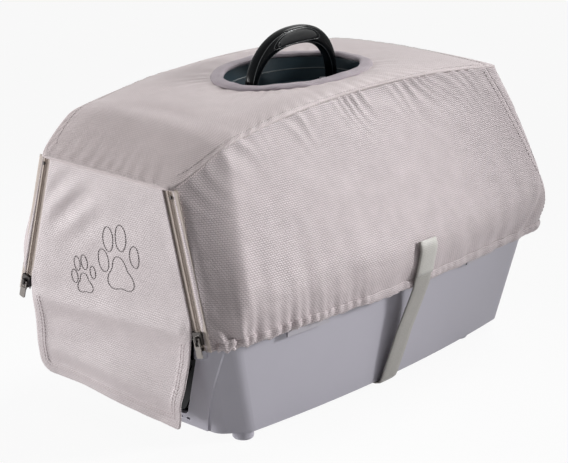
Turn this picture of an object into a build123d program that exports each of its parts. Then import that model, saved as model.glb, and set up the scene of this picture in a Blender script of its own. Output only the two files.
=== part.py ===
"""Pet transport box with a fitted fabric cover, in millimetres.

Two moulded shells meet at a flange and are held by clips. A lattice door closes the front end,
behind a fabric flap that two zips hold shut. The cover is pulled over the upper shell and held
by a gathered hem below the flange and by a strap under the floor. The front faces -Y.
"""

import os
from collections import namedtuple
from math import atan2, cos, degrees, hypot, radians, sin, tan

from build123d import *

# One level of the body seen from above. The flat front is front_half wide to each side, a slant
# runs back from its end by slant_back to slant_half, and a bowed side runs on through half at mid
# length to rear_half at the rear. The corners are rounded by radius.
Plan = namedtuple("Plan", "z front rear front_half slant_half slant_back half rear_half radius")

# Base tray
FOOT_HEIGHT = 9.0
FOOT_RADIUS = 10.5
FOOT_SIDE_INSET = 25.0
FOOT_FRONT_INSET = 26.5
FOOT_REAR_INSET = 62.5
WALL = 2.6
FLOOR_FRONT = 218.5
FLOOR_REAR = 219.5
FLOOR_FRONT_HALF = 101.0
FLOOR_SLANT_HALF = 121.5
FLOOR_SLANT_BACK = 25.0
FLOOR_HALF = 134.0
FLOOR_REAR_HALF = 121.0
FLOOR_CORNER = 17.0
SEAM_Z = 148.0
SHOULDER_DROP = 30.0
SHOULDER_FRONT = 250.5
SHOULDER_REAR = 252.5
SHOULDER_FRONT_HALF = 111.0
SHOULDER_SLANT_HALF = 132.0
SHOULDER_SLANT_BACK = 24.0
SHOULDER_HALF = 147.0
SHOULDER_REAR_HALF = 134.0
RIM_SPREAD = 2.0
RIM_CORNER = 20.0
REAR_BOW = 6.0
FLANGE_SIDE = 11.0
FLANGE_END = 2.0
FLANGE_DEPTH = 6.0

# Upper shell and its roof, which is arched along the box and crowned across it
CREST_Z = 322.0
CREST_REAR = 202.0
CREST_FRONT_HALF = 56.0
CREST_SLANT_HALF = 82.0
CREST_SLANT_BACK = 52.0
CREST_HALF = 88.0
CREST_REAR_HALF = 90.0
CREST_CORNER = 12.0
ROOF_Z = 308.5
ROOF_PEAK_Y = 9.0
ARCH_RADIUS = 1200.0
CROWN_RADIUS = 2000.0
FACET_Z = 260.5
FACET_SLOPE = 31.0
VENT_LENGTH = 46.0
VENT_HEIGHT = 8.0
VENT_PITCH_Y = 66.0
VENT_PITCH_Z = 26.0
VENT_RISE = 60.0
VENT_COLUMNS = 5
VENT_ROWS = 3

# Handle and the recess that leaves room for the fingers
HANDLE_Y = 3.0
RECESS_DEPTH = 26.0
RECESS_HALF_X = 61.0
RECESS_HALF_Y = 92.0
RECESS_DRAFT = 8.0
HANDLE_HALF = 67.0
HANDLE_RISE = 45.0
HANDLE_LEG = 27.0
HANDLE_LEG_THICK = 7.0
HANDLE_THICK = 19.5
HANDLE_WIDTH = 12.0
HANDLE_EDGE = 2.6
HANDLE_FOOT = 4.0
HANDLE_FOOT_WIDTH = 36.0
HANDLE_FOOT_LENGTH = 18.0
PAD_HALF = 28.0
PAD_MARGIN = 4.0
PAD_CORNER = 3.0
PAD_DEPTH = 1.6
SCREW_RADIUS = 1.8
SCREW_HEAD_RADIUS = 3.4
SCREW_HEAD = 2.2

# Doorway, door leaf, hinge and turn latch
SILL_Z = 21.0
SILL_HALF = 66.0
DOORWAY_HALF = 102.0
DOORWAY_SIDE_DROP = 48.0
DOORWAY_SIDE_RISE = 4.0
DOORWAY_TOP_RISE = 57.0
DOORWAY_TOP_HALF = 84.0
DOORWAY_CORNER = 8.0
SURROUND_WIDTH = 20.0
SURROUND_PROUD = 1.8
SILL_SLOT_X = 61.0
SILL_SLOT_PITCH = 10.0
SILL_SLOT_LENGTH = 5.0
SILL_SLOT_HEIGHT = 2.4
SILL_SLOT_DROP = 4.5
LEAF_GAP = 3.5
LEAF_PROUD = 5.0
LEAF_THICK = 7.0
LEAF_FRAME = 10.0
BAR_WIDTH = 6.0
BAR_PITCH_X = 26.0
BAR_PITCH_Z = 24.0
BAR_COUNT = 9
HINGE_SET = 5.5
HINGE_INSET = 4.0
HINGE_DROP = 12.0
HINGE_PIN_RADIUS = 2.5
HINGE_BARREL_RADIUS = 5.0
HINGE_BARREL = 22.0
HINGE_HALF = 26.0
HINGE_BOSS_RADIUS = 6.0
HINGE_BOSS = 12.0
HINGE_PIN_SEAT = 9.0
HINGE_ROOM = 1.5
HINGE_ARM_ROOM = 4.0
RUNNING_FIT = 0.08
SIDE_PLAY = 1.0
LATCH_INSET = 14.0
LATCH_BOSS_RADIUS = 13.0
LATCH_SHAFT_RADIUS = 4.0
LATCH_KNOB_RADIUS = 11.0
LATCH_KNOB_PLATE = 3.0
LATCH_WING = 7.0
LATCH_WING_WIDTH = 5.0
LATCH_CAM_REACH = 28.0
LATCH_CAM_WIDTH = 10.0
LATCH_CAM_THICK = 4.0
LATCH_PLAY = 0.5
STRIKE_SET = 10.0
STRIKE_WALL = 3.0
STRIKE_HALF = 24.0

# Clips that hold the flanges together under the cover
CLIP_Y = 140.0
CLIP_WIDTH = 56.0
CLIP_WALL = 2.0
CLIP_GAP = 0.4
CLIP_HOOK = 9.0
CLIP_TAIL_DROP = 44.0
CLIP_TAIL_TUCK = 8.0

# Fabric cover
FABRIC = 1.5
COVER_GAP = 1.0
COVER_FRONT_ROOM = 3.5
HEM_DROP = 36.0
HEM_REAR_ROOM = 3.0
HEM_FRONT_ROOM = 8.0
HEM_SLANT_ROOM = 5.0
HEM_SLANT_BACK = 22.0
HEM_SIDE_ROOM = 9.0
HEM_CORNER = 14.0
BULGE_RISE = 2.0
BULGE_REAR_ROOM = 2.0
BULGE_FRONT_ROOM = 7.0
BULGE_SLANT_ROOM = 5.0
BULGE_SLANT_BACK = 27.0
BULGE_SIDE_ROOM = 6.0
BULGE_CORNER = 26.0
CREST_REAR_ROOM = 5.0
CREST_FRONT_ROOM = 6.7
CREST_SLANT_ROOM = 5.7
CREST_SLANT_BACK_ROOM = 3.7
CREST_SIDE_ROOM = 7.0
CREST_CORNER_ROOM = 8.0
REAR_SEAM_Y = 157.5
REAR_SEAM_SLOPE = 34.6
OPENING_Y = 4.5
OPENING_HALF_X = 56.0
OPENING_HALF_Y = 86.0
BINDING_WIDTH = 13.0
CASING_HEIGHT = 11.0
CASING_WALL = 2.2
CASING_START = 12.0
ELASTIC_HEIGHT = 7.0
ELASTIC_THICK = 1.2

# Front flap and its two zips
ZIP_TOP_X = 81.0
ZIP_BOTTOM_OUT = 2.0
FLAP_BOTTOM_HALF = 93.0
FLAP_BOTTOM_Z = 29.0
FLAP_CORNER = 14.0
WELT_RADIUS = 1.2
ZIP_CHANNEL = 6.6
TAPE_WIDTH = 10.0
TAPE_THICK = 0.8
CHAIN_GAP = 1.0
COIL_WIDTH = 2.2
COIL_HEIGHT = 1.5
COIL_PITCH = 3.2
COIL_TOOTH = 1.8
ZIP_CLEAR = 0.4
SLIDER_LENGTH = 12.0
SLIDER_HALF = 5.2
SLIDER_RIM = 1.4
SLIDER_PLATE = 1.2
SLIDER_POST = 0.5
SLIDER_POST_LENGTH = 3.0
BRIDGE_HALF = 1.2
BRIDGE_LEG = 1.6
PULL_ROD_RADIUS = 0.8
PULL_ROD_ROOM = 0.35
PULL_HALF = 3.6
PULL_ARM = 1.2
PULL_LENGTH = 18.0
PULL_EYE = 7.0
ZIP_END = 6.0
SLIDER_TRAVEL = 122.0
STOP_LENGTH = 3.0

# Strap round the middle
STRAP_WIDTH = 25.0
STRAP_THICK = 1.6
STRAP_RISE = 12.0
STRAP_TOP_Y = 18.0
STRAP_BOTTOM_Y = -6.0
STRAP_FOOT_OUT = 6.6
STRAP_HEM_GAP = 0.45
STRAP_LIFT = 1.2
STRAP_UNDER_GAP = 0.3
TAB_HEIGHT = 34.0
TAB_THICK = 1.4

# Levels of the tray, the upper shell and the cover
FLOOR = Plan(FOOT_HEIGHT, FLOOR_FRONT, FLOOR_REAR, FLOOR_FRONT_HALF, FLOOR_SLANT_HALF,
             FLOOR_SLANT_BACK, FLOOR_HALF, FLOOR_REAR_HALF, FLOOR_CORNER)
SHOULDER = Plan(SEAM_Z - SHOULDER_DROP, SHOULDER_FRONT, SHOULDER_REAR, SHOULDER_FRONT_HALF,
                SHOULDER_SLANT_HALF, SHOULDER_SLANT_BACK, SHOULDER_HALF, SHOULDER_REAR_HALF, RIM_CORNER)
RIM = Plan(SEAM_Z, SHOULDER_FRONT + RIM_SPREAD / 2, SHOULDER_REAR + RIM_SPREAD / 2,
           SHOULDER_FRONT_HALF + RIM_SPREAD, SHOULDER_SLANT_HALF + RIM_SPREAD, SHOULDER_SLANT_BACK,
           SHOULDER_HALF + RIM_SPREAD, SHOULDER_REAR_HALF + RIM_SPREAD, RIM_CORNER)
FLANGE = Plan(SEAM_Z, RIM.front + FLANGE_END, RIM.rear + FLANGE_END, RIM.front_half,
              RIM.slant_half + FLANGE_SIDE, RIM.slant_back, RIM.half + FLANGE_SIDE,
              RIM.rear_half + FLANGE_SIDE, RIM_CORNER)
CREST = Plan(CREST_Z, RIM.front, CREST_REAR, CREST_FRONT_HALF, CREST_SLANT_HALF, CREST_SLANT_BACK,
             CREST_HALF, CREST_REAR_HALF, CREST_CORNER)
COVER_FRONT = FLANGE.front + COVER_FRONT_ROOM
HEM = Plan(SEAM_Z - HEM_DROP, COVER_FRONT, SHOULDER.rear + HEM_REAR_ROOM,
           SHOULDER.front_half + HEM_FRONT_ROOM, SHOULDER.slant_half + HEM_SLANT_ROOM, HEM_SLANT_BACK,
           SHOULDER.half + HEM_SIDE_ROOM, SHOULDER.rear_half + HEM_SIDE_ROOM, HEM_CORNER)
BULGE = Plan(SEAM_Z + BULGE_RISE, COVER_FRONT, FLANGE.rear + BULGE_REAR_ROOM,
             FLANGE.front_half + BULGE_FRONT_ROOM, FLANGE.slant_half + BULGE_SLANT_ROOM, BULGE_SLANT_BACK,
             FLANGE.half + BULGE_SIDE_ROOM, FLANGE.rear_half + BULGE_SIDE_ROOM, BULGE_CORNER)
COVER_CREST = Plan(CREST_Z, COVER_FRONT, CREST_REAR + CREST_REAR_ROOM, CREST_FRONT_HALF + CREST_FRONT_ROOM,
                   CREST_SLANT_HALF + CREST_SLANT_ROOM, CREST_SLANT_BACK + CREST_SLANT_BACK_ROOM,
                   CREST_HALF + CREST_SIDE_ROOM, CREST_REAR_HALF + CREST_CORNER_ROOM, CREST_CORNER)
TRAY = (FLOOR, SHOULDER, RIM)
TRAY_INSIDE = (FLOOR._replace(z=FOOT_HEIGHT + WALL), SHOULDER, RIM)
DOME = (RIM, CREST)
COVER = (HEM, BULGE, COVER_CREST)
FAR = 400.0

FOOT_X = FLOOR_HALF - FOOT_SIDE_INSET
FRONT_FOOT_Y = FOOT_FRONT_INSET - FLOOR_FRONT
REAR_FOOT_Y = FLOOR_REAR - FOOT_REAR_INSET
HINGE_X = DOORWAY_HALF + HINGE_SET
HINGE_Y = HINGE_INSET - RIM.front
HINGE_Z = SEAM_Z - HINGE_DROP
LATCH_X = -(DOORWAY_HALF - LEAF_GAP - LATCH_INSET)
LEAF_FRONT = FLOOR_FRONT + LEAF_PROUD
LEAF_BACK = LEAF_FRONT - LEAF_THICK
RECESS_Z = ROOF_Z - RECESS_DEPTH
HANDLE_CENTRE_Z = RECESS_Z + HANDLE_LEG
HANDLE_LEG_Y = HANDLE_HALF - HANDLE_LEG_THICK / 2
SCREW_X = (HANDLE_WIDTH + HANDLE_FOOT_WIDTH) / 4
SCREW_PLACES = [(x, HANDLE_Y + y) for x in (-SCREW_X, SCREW_X) for y in (-HANDLE_LEG_Y, HANDLE_LEG_Y)]

# The zips lie on the front face of the cover, and the flap hangs just in front of their tapes.
FACE_Y = -(COVER_FRONT + FABRIC)
ZIP_BOTTOM_X = HEM.front_half + ZIP_BOTTOM_OUT
FACET_DROP = (COVER_FRONT + FABRIC - RIM.front) * tan(radians(FACET_SLOPE))
FLAP_TOP_Z = FACET_Z + COVER_GAP + FABRIC - FACET_DROP
FLAP_Y = FACE_Y - TAPE_THICK - FABRIC / 2
ZIP_RUN = hypot(ZIP_BOTTOM_X - ZIP_TOP_X, FLAP_TOP_Z - HEM.z)
ZIP_LEAN = degrees(atan2(ZIP_BOTTOM_X - ZIP_TOP_X, FLAP_TOP_Z - HEM.z))
ZIP_ACROSS = (cos(radians(ZIP_LEAN)), 0, sin(radians(ZIP_LEAN)))
ZIP_PLANE = Plane(origin=(ZIP_BOTTOM_X, FACE_Y, HEM.z), x_dir=ZIP_ACROSS, z_dir=(0, -1, 0))
CHANNEL_X = ZIP_CHANNEL / cos(radians(ZIP_LEAN))
SLIDER_FACE = TAPE_THICK + COIL_HEIGHT + ZIP_CLEAR + SLIDER_PLATE
PULL_AXIS = SLIDER_FACE + PULL_ROD_ROOM + PULL_ROD_RADIUS
STRAP_SKEW = degrees(atan2(STRAP_TOP_Y - STRAP_BOTTOM_Y, BULGE.z + STRAP_RISE))


def outline(plan, grow=0.0):
    """Face of one level, moved out by grow all round."""
    slant = atan2(plan.slant_back, plan.slant_half - plan.front_half)
    front = -plan.front - grow
    rear = plan.rear + grow
    front_half = plan.front_half + grow * tan(slant / 2)
    slant_half = plan.slant_half + grow
    slant_y = plan.slant_back - plan.front - grow * cos(slant) / (1 + sin(slant))
    rear_half = plan.rear_half + grow
    middle = (plan.rear - plan.front) / 2
    with BuildSketch(Plane.XY.offset(plan.z)) as level:
        with BuildLine():
            Polyline((-slant_half, slant_y), (-front_half, front), (front_half, front),
                     (slant_half, slant_y))
            ThreePointArc((slant_half, slant_y), (plan.half + grow, middle), (rear_half, rear))
            ThreePointArc((rear_half, rear), (0, rear + REAR_BOW), (-rear_half, rear))
            ThreePointArc((-rear_half, rear), (-plan.half - grow, middle), (-slant_half, slant_y))
        make_face()
        fillet(level.vertices(), plan.radius + grow)
    return level.sketch


def hull(plans, grow=0.0):
    """Solid through the given levels."""
    with BuildPart() as body:
        loft([outline(plan, grow) for plan in plans], ruled=True)
    return body.part


def under_roof(lift):
    """Everything below the roof raised by lift: a crowned arch cut by the sloping front facet."""
    sweep = degrees(2 * FAR / ARCH_RADIUS)
    centre = (0, ROOF_PEAK_Y, ROOF_Z - ARCH_RADIUS)
    crown = ARCH_RADIUS + lift
    edge = crown - CROWN_RADIUS + (CROWN_RADIUS**2 - (FAR / 2) ** 2) ** 0.5
    start = Plane(origin=centre, x_dir=(1, 0, 0), z_dir=Vector(0, -1, 0).rotate(Axis.X, -sweep / 2))
    facet = Plane(origin=(0, -RIM.front, FACET_Z + lift), x_dir=(1, 0, 0),
                  z_dir=Vector(0, 0, 1).rotate(Axis.X, FACET_SLOPE))
    with BuildPart() as body:
        with BuildSketch(start):
            with BuildLine():
                ThreePointArc((-FAR / 2, edge), (0, crown), (FAR / 2, edge))
                Polyline((FAR / 2, edge), (FAR / 2, crown - FAR), (-FAR / 2, crown - FAR), (-FAR / 2, edge))
            make_face()
        revolve(axis=Axis(centre, (1, 0, 0)), revolution_arc=sweep)
        with BuildSketch(facet):
            Rectangle(2 * FAR, 2 * FAR)
        extrude(amount=FAR, mode=Mode.SUBTRACT)
    return body.part


def doorway(grow=0.0):
    """Outline of the doorway, widest at the flange, drawn as width against height."""
    right = [(SILL_HALF + grow, SILL_Z - grow), (DOORWAY_HALF + grow, SEAM_Z - DOORWAY_SIDE_DROP),
             (DOORWAY_HALF + grow, SEAM_Z + DOORWAY_SIDE_RISE),
             (DOORWAY_TOP_HALF + grow, SEAM_Z + DOORWAY_TOP_RISE + grow)]
    left = [(-x, z) for x, z in reversed(right)]
    with BuildSketch() as face:
        with BuildLine():
            Polyline(*right, *left, close=True)
        make_face()
        fillet(face.vertices(), DOORWAY_CORNER)
    return face.sketch


def oval_block(low_z, low_x, low_y, high_z, high_x, high_y, centre_y):
    """Solid between two ellipses over the middle of the roof."""
    with BuildPart() as block:
        with BuildSketch(Plane.XY.offset(low_z)) as low:
            with Locations((0, centre_y)):
                Ellipse(low_x, low_y)
        with BuildSketch(Plane.XY.offset(high_z)) as high:
            with Locations((0, centre_y)):
                Ellipse(high_x, high_y)
        loft([low.sketch, high.sketch])
    return block.part


def recess(grow=0.0):
    """Finger recess below the handle, or its outside when grown by the wall."""
    half_x = RECESS_HALF_X + grow
    half_y = RECESS_HALF_Y + grow
    return oval_block(RECESS_Z - grow, half_x - RECESS_DRAFT, half_y - RECESS_DRAFT, CREST_Z, half_x,
                      half_y, HANDLE_Y)


def opening(grow=0.0):
    """Upright oval through the top panel."""
    half_x = OPENING_HALF_X + grow
    half_y = OPENING_HALF_Y + grow
    return oval_block(BULGE.z, half_x, half_y, CREST_Z, half_x, half_y, OPENING_Y)


def side_of(plan, y):
    """Half width of a level's bowed side at the given y, as a parabola through its three points."""
    low_y = plan.slant_back - plan.front
    mid_y = (plan.rear - plan.front) / 2
    high_y = plan.rear
    low = plan.slant_half * (y - mid_y) * (y - high_y) / ((low_y - mid_y) * (low_y - high_y))
    mid = plan.half * (y - low_y) * (y - high_y) / ((mid_y - low_y) * (mid_y - high_y))
    high = plan.rear_half * (y - low_y) * (y - mid_y) / ((high_y - low_y) * (high_y - mid_y))
    return low + mid + high


def arch(margin=0.0):
    """Arch of the handle less a margin at both edges, drawn as length against height."""
    with BuildSketch() as face:
        with Locations((HANDLE_Y, HANDLE_CENTRE_Z)):
            Ellipse(HANDLE_HALF - margin, HANDLE_RISE - margin)
            Ellipse(HANDLE_HALF - HANDLE_LEG_THICK + margin, HANDLE_RISE - HANDLE_THICK + margin,
                    mode=Mode.SUBTRACT)
            Rectangle(FAR, FAR, align=(Align.CENTER, Align.MAX), mode=Mode.SUBTRACT)
    return face.sketch


def grip_pad():
    """Curved pad let into the side of the handle, drawn as length against height."""
    with BuildSketch() as face:
        add(arch(PAD_MARGIN))
        with Locations((HANDLE_Y, HANDLE_CENTRE_Z)):
            Rectangle(2 * PAD_HALF, FAR, mode=Mode.INTERSECT)
        ends = face.vertices().group_by(Axis.X)
        fillet(ends[0] + ends[-1], PAD_CORNER)
    return face.sketch


def zip_strip(inner, outer, start, end, back, front):
    """Straight strip on the right zip: distances across it, along it and out of the cover face."""
    with BuildPart() as strip:
        with BuildSketch(ZIP_PLANE.offset(back)):
            with Locations(((inner + outer) / 2, (start + end) / 2)):
                Rectangle(outer - inner, end - start)
        extrude(amount=front - back)
    return strip.part


def zip_coil(side, start, end):
    """One row of teeth with its cord; side is 1 for the cover's row and -1 for the flap's."""
    inner = CHAIN_GAP / 2
    middle = inner + COIL_WIDTH / 2
    count = int((end - start) / COIL_PITCH)
    with BuildPart() as coil:
        with BuildSketch(ZIP_PLANE.offset(TAPE_THICK)):
            with Locations((side * (middle + COIL_WIDTH / 4), (start + end) / 2)):
                Rectangle(COIL_WIDTH / 2, end - start)
        extrude(amount=COIL_HEIGHT * 0.6)
        with BuildSketch(ZIP_PLANE.offset(TAPE_THICK)):
            with Locations((side * middle, (start + end) / 2)):
                with GridLocations(0, COIL_PITCH, 1, count):
                    Rectangle(COIL_WIDTH, COIL_TOOTH)
        extrude(amount=COIL_HEIGHT)
    return coil.part


def strap_plane():
    """Plane of the right strap's section, leaning back by the skew of the strap."""
    skew = radians(STRAP_SKEW)
    return Plane(origin=(0, STRAP_BOTTOM_Y, 0), x_dir=(1, 0, 0), z_dir=(0, -cos(skew), sin(skew)))


def strap_band(low_z, back, front):
    """Band along the strap's line from low_z to its sewn end, between two distances out of it."""
    skew = radians(STRAP_SKEW)
    knee_z = BULGE.z / cos(skew) + STRAP_WIDTH / 2 * tan(skew)
    rise_share = STRAP_RISE * cos(skew) / (CREST_Z - BULGE.z)
    top_half = BULGE.half + (COVER_CREST.half - BULGE.half) * rise_share
    hem_half = HEM.half + (BULGE.half - HEM.half) * CASING_HEIGHT / (BULGE.z - HEM.z)
    foot = (FLOOR.half + STRAP_FOOT_OUT, FLOOR.z)
    hem = (hem_half + FABRIC + CASING_WALL + STRAP_HEM_GAP, (HEM.z + CASING_HEIGHT) / cos(skew))
    knee = (BULGE.half + FABRIC + STRAP_LIFT, knee_z)
    top = (top_half + FABRIC + STRAP_LIFT, knee_z + STRAP_RISE)
    under, over = (foot, hem) if low_z < hem[1] else (hem, knee)
    low_x = under[0] + (over[0] - under[0]) * (low_z - under[1]) / (over[1] - under[1])
    line = [(low_x, low_z)] + [point for point in (hem, knee, top) if point[1] > low_z]
    there = [(x + back, z) for x, z in line]
    again = [(x + front, z) for x, z in reversed(line)]
    with BuildPart() as band:
        with BuildSketch(strap_plane()):
            with BuildLine():
                Polyline(*there, *again, close=True)
            make_face()
        extrude(amount=STRAP_WIDTH / 2, both=True)
    return band.part


# Room for the door's knuckles and arms at the edge of the doorway
with BuildPart() as hinge_notch:
    with Locations((HINGE_X - HINGE_ARM_ROOM / 2, HINGE_Y, HINGE_Z)):
        Box(2 * (HINGE_BOSS_RADIUS + HINGE_ROOM) + HINGE_ARM_ROOM, 2 * (COVER_FRONT + HINGE_Y),
            2 * HINGE_HALF)

# Rib inside both shells that the latch cam turns behind
with BuildPart() as strike:
    with Locations((-(DOORWAY_HALF + STRIKE_SET), -LEAF_BACK, SEAM_Z)):
        Box(STRIKE_WALL, FAR, 2 * STRIKE_HALF, align=(Align.MAX, Align.MAX, Align.CENTER))

# Tray: drafted walls, flange, door surround, hinge boss, latch rib and moulded feet
with BuildPart() as tray_space:
    add(hull(TRAY_INSIDE, -WALL))
    add(strike.part, mode=Mode.SUBTRACT)

with BuildPart() as lower_shell:
    add(hull(TRAY, SURROUND_PROUD))
    with BuildSketch(Plane.XZ):
        add(doorway(SURROUND_WIDTH))
    extrude(amount=FAR, mode=Mode.INTERSECT)
    add(hull(TRAY))
    extrude(outline(FLANGE), amount=-FLANGE_DEPTH)
    with Locations((FOOT_X, FRONT_FOOT_Y), (-FOOT_X, FRONT_FOOT_Y), (FOOT_X, REAR_FOOT_Y),
                   (-FOOT_X, REAR_FOOT_Y)):
        Cylinder(FOOT_RADIUS, FOOT_HEIGHT + WALL, align=(Align.CENTER, Align.CENTER, Align.MIN))
    fillet(lower_shell.edges().filter_by(GeomType.CIRCLE).group_by(Axis.Z)[0], FOOT_HEIGHT / 4)
    add(tray_space.part, mode=Mode.SUBTRACT)
    with BuildSketch(Plane.XZ):
        add(doorway())
    extrude(amount=FAR, mode=Mode.SUBTRACT)
    with BuildSketch(Plane.XZ):
        with Locations((SILL_SLOT_X, SILL_Z - SILL_SLOT_DROP), (-SILL_SLOT_X, SILL_Z - SILL_SLOT_DROP)):
            with GridLocations(SILL_SLOT_PITCH, 0, 2, 1):
                SlotOverall(SILL_SLOT_LENGTH, SILL_SLOT_HEIGHT)
    extrude(amount=FAR, mode=Mode.SUBTRACT)
    add(hinge_notch.part, mode=Mode.SUBTRACT)
    with Locations((HINGE_X, HINGE_Y, HINGE_Z - HINGE_HALF)):
        Cylinder(HINGE_BOSS_RADIUS, HINGE_BOSS, align=(Align.CENTER, Align.CENTER, Align.MAX))
        Cylinder(HINGE_PIN_RADIUS + RUNNING_FIT, HINGE_PIN_SEAT,
                 align=(Align.CENTER, Align.CENTER, Align.MAX), mode=Mode.SUBTRACT)

# Upper shell: arched roof, finger recess, vents, flange, hinge boss and latch rib
with BuildPart() as dome_space:
    add(hull(DOME, -WALL))
    add(under_roof(-WALL), mode=Mode.INTERSECT)
    add(recess(WALL), mode=Mode.SUBTRACT)
    add(strike.part, mode=Mode.SUBTRACT)

with BuildPart() as upper_shell:
    add(hull(DOME))
    add(under_roof(0), mode=Mode.INTERSECT)
    extrude(outline(FLANGE), amount=FLANGE_DEPTH)
    add(dome_space.part, mode=Mode.SUBTRACT)
    add(recess(), mode=Mode.SUBTRACT)
    with BuildSketch(Plane.XZ):
        add(doorway())
    extrude(amount=FAR, mode=Mode.SUBTRACT)
    with BuildSketch(Plane.YZ):
        with Locations((0, SEAM_Z + VENT_RISE)):
            with GridLocations(VENT_PITCH_Y, VENT_PITCH_Z, VENT_COLUMNS, VENT_ROWS):
                SlotOverall(VENT_LENGTH, VENT_HEIGHT)
    extrude(amount=FAR, both=True, mode=Mode.SUBTRACT)
    add(hinge_notch.part, mode=Mode.SUBTRACT)
    with Locations((HINGE_X, HINGE_Y, HINGE_Z + HINGE_HALF)):
        Cylinder(HINGE_BOSS_RADIUS, HINGE_BOSS, align=(Align.CENTER, Align.CENTER, Align.MIN))
        Cylinder(HINGE_PIN_RADIUS + RUNNING_FIT, HINGE_PIN_SEAT,
                 align=(Align.CENTER, Align.CENTER, Align.MIN), mode=Mode.SUBTRACT)
    with Locations(*[(x, y, RECESS_Z) for x, y in SCREW_PLACES]):
        Cylinder(SCREW_RADIUS, 3 * WALL, mode=Mode.SUBTRACT)

# Clips, each a section bent round both flanges with a tail that reaches below the hem
clip_reach = FLANGE_DEPTH + CLIP_GAP
clip_section = [(-CLIP_HOOK, clip_reach), (CLIP_GAP, clip_reach), (CLIP_GAP, -clip_reach),
                (CLIP_WALL - CLIP_HOOK, -clip_reach),
                (-CLIP_TAIL_TUCK - CLIP_WALL, CLIP_TAIL_TUCK - CLIP_TAIL_DROP),
                (-CLIP_TAIL_TUCK - CLIP_WALL, -CLIP_TAIL_DROP), (-CLIP_TAIL_TUCK, -CLIP_TAIL_DROP),
                (-CLIP_TAIL_TUCK + CLIP_GAP, CLIP_TAIL_TUCK - CLIP_TAIL_DROP),
                (CLIP_GAP + CLIP_WALL, -FLANGE_DEPTH), (CLIP_GAP + CLIP_WALL, clip_reach + CLIP_WALL),
                (-CLIP_HOOK, clip_reach + CLIP_WALL)]
with BuildPart() as shell_clips:
    for clip_y in (-CLIP_Y, CLIP_Y):
        edge_x = side_of(FLANGE, clip_y)
        slope = side_of(FLANGE, clip_y + 1) - edge_x
        section = Plane(origin=(edge_x, clip_y, SEAM_Z), x_dir=(1, -slope, 0), z_dir=(-slope, -1, 0))
        with BuildSketch(section):
            with BuildLine():
                Polyline(*clip_section, close=True)
            make_face()
        extrude(amount=CLIP_WIDTH / 2, both=True)
    mirror(about=Plane.YZ)

# Handle: an arch with screwed feet, rounded for the hand, with a soft pad let into each side
with BuildPart() as carry_handle:
    with BuildSketch(Plane.YZ):
        add(arch())
        with Locations((HANDLE_Y, RECESS_Z)):
            with GridLocations(2 * HANDLE_LEG_Y, 0, 2, 1):
                Rectangle(HANDLE_LEG_THICK, HANDLE_LEG, align=(Align.CENTER, Align.MIN))
    extrude(amount=HANDLE_WIDTH / 2, both=True)
    fillet(carry_handle.faces().sort_by(Axis.X)[0].edges(), HANDLE_EDGE)
    fillet(carry_handle.faces().sort_by(Axis.X)[-1].edges(), HANDLE_EDGE)
    with Locations((0, HANDLE_Y - HANDLE_LEG_Y, RECESS_Z), (0, HANDLE_Y + HANDLE_LEG_Y, RECESS_Z)):
        Box(HANDLE_FOOT_WIDTH, HANDLE_FOOT_LENGTH, HANDLE_FOOT,
            align=(Align.CENTER, Align.CENTER, Align.MIN))
    with Locations(*[(x, y, RECESS_Z) for x, y in SCREW_PLACES]):
        Cylinder(SCREW_RADIUS, 3 * HANDLE_FOOT, mode=Mode.SUBTRACT)
    for side_plane in (Plane.YZ.offset(HANDLE_WIDTH / 2), Plane.YZ.offset(-HANDLE_WIDTH / 2)):
        with BuildSketch(side_plane):
            add(grip_pad())
        extrude(amount=PAD_DEPTH, both=True, mode=Mode.SUBTRACT)

with BuildPart() as grip_pads:
    with BuildSketch(Plane.YZ.offset(HANDLE_WIDTH / 2 - PAD_DEPTH)):
        add(grip_pad())
    extrude(amount=PAD_DEPTH)
    mirror(about=Plane.YZ)

with BuildPart() as handle_screws:
    with Locations(*[(x, y, RECESS_Z + HANDLE_FOOT) for x, y in SCREW_PLACES]):
        Cylinder(SCREW_HEAD_RADIUS, SCREW_HEAD, align=(Align.CENTER, Align.CENTER, Align.MIN))
        Cylinder(SCREW_RADIUS, HANDLE_FOOT + WALL, align=(Align.CENTER, Align.CENTER, Align.MAX))

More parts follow.
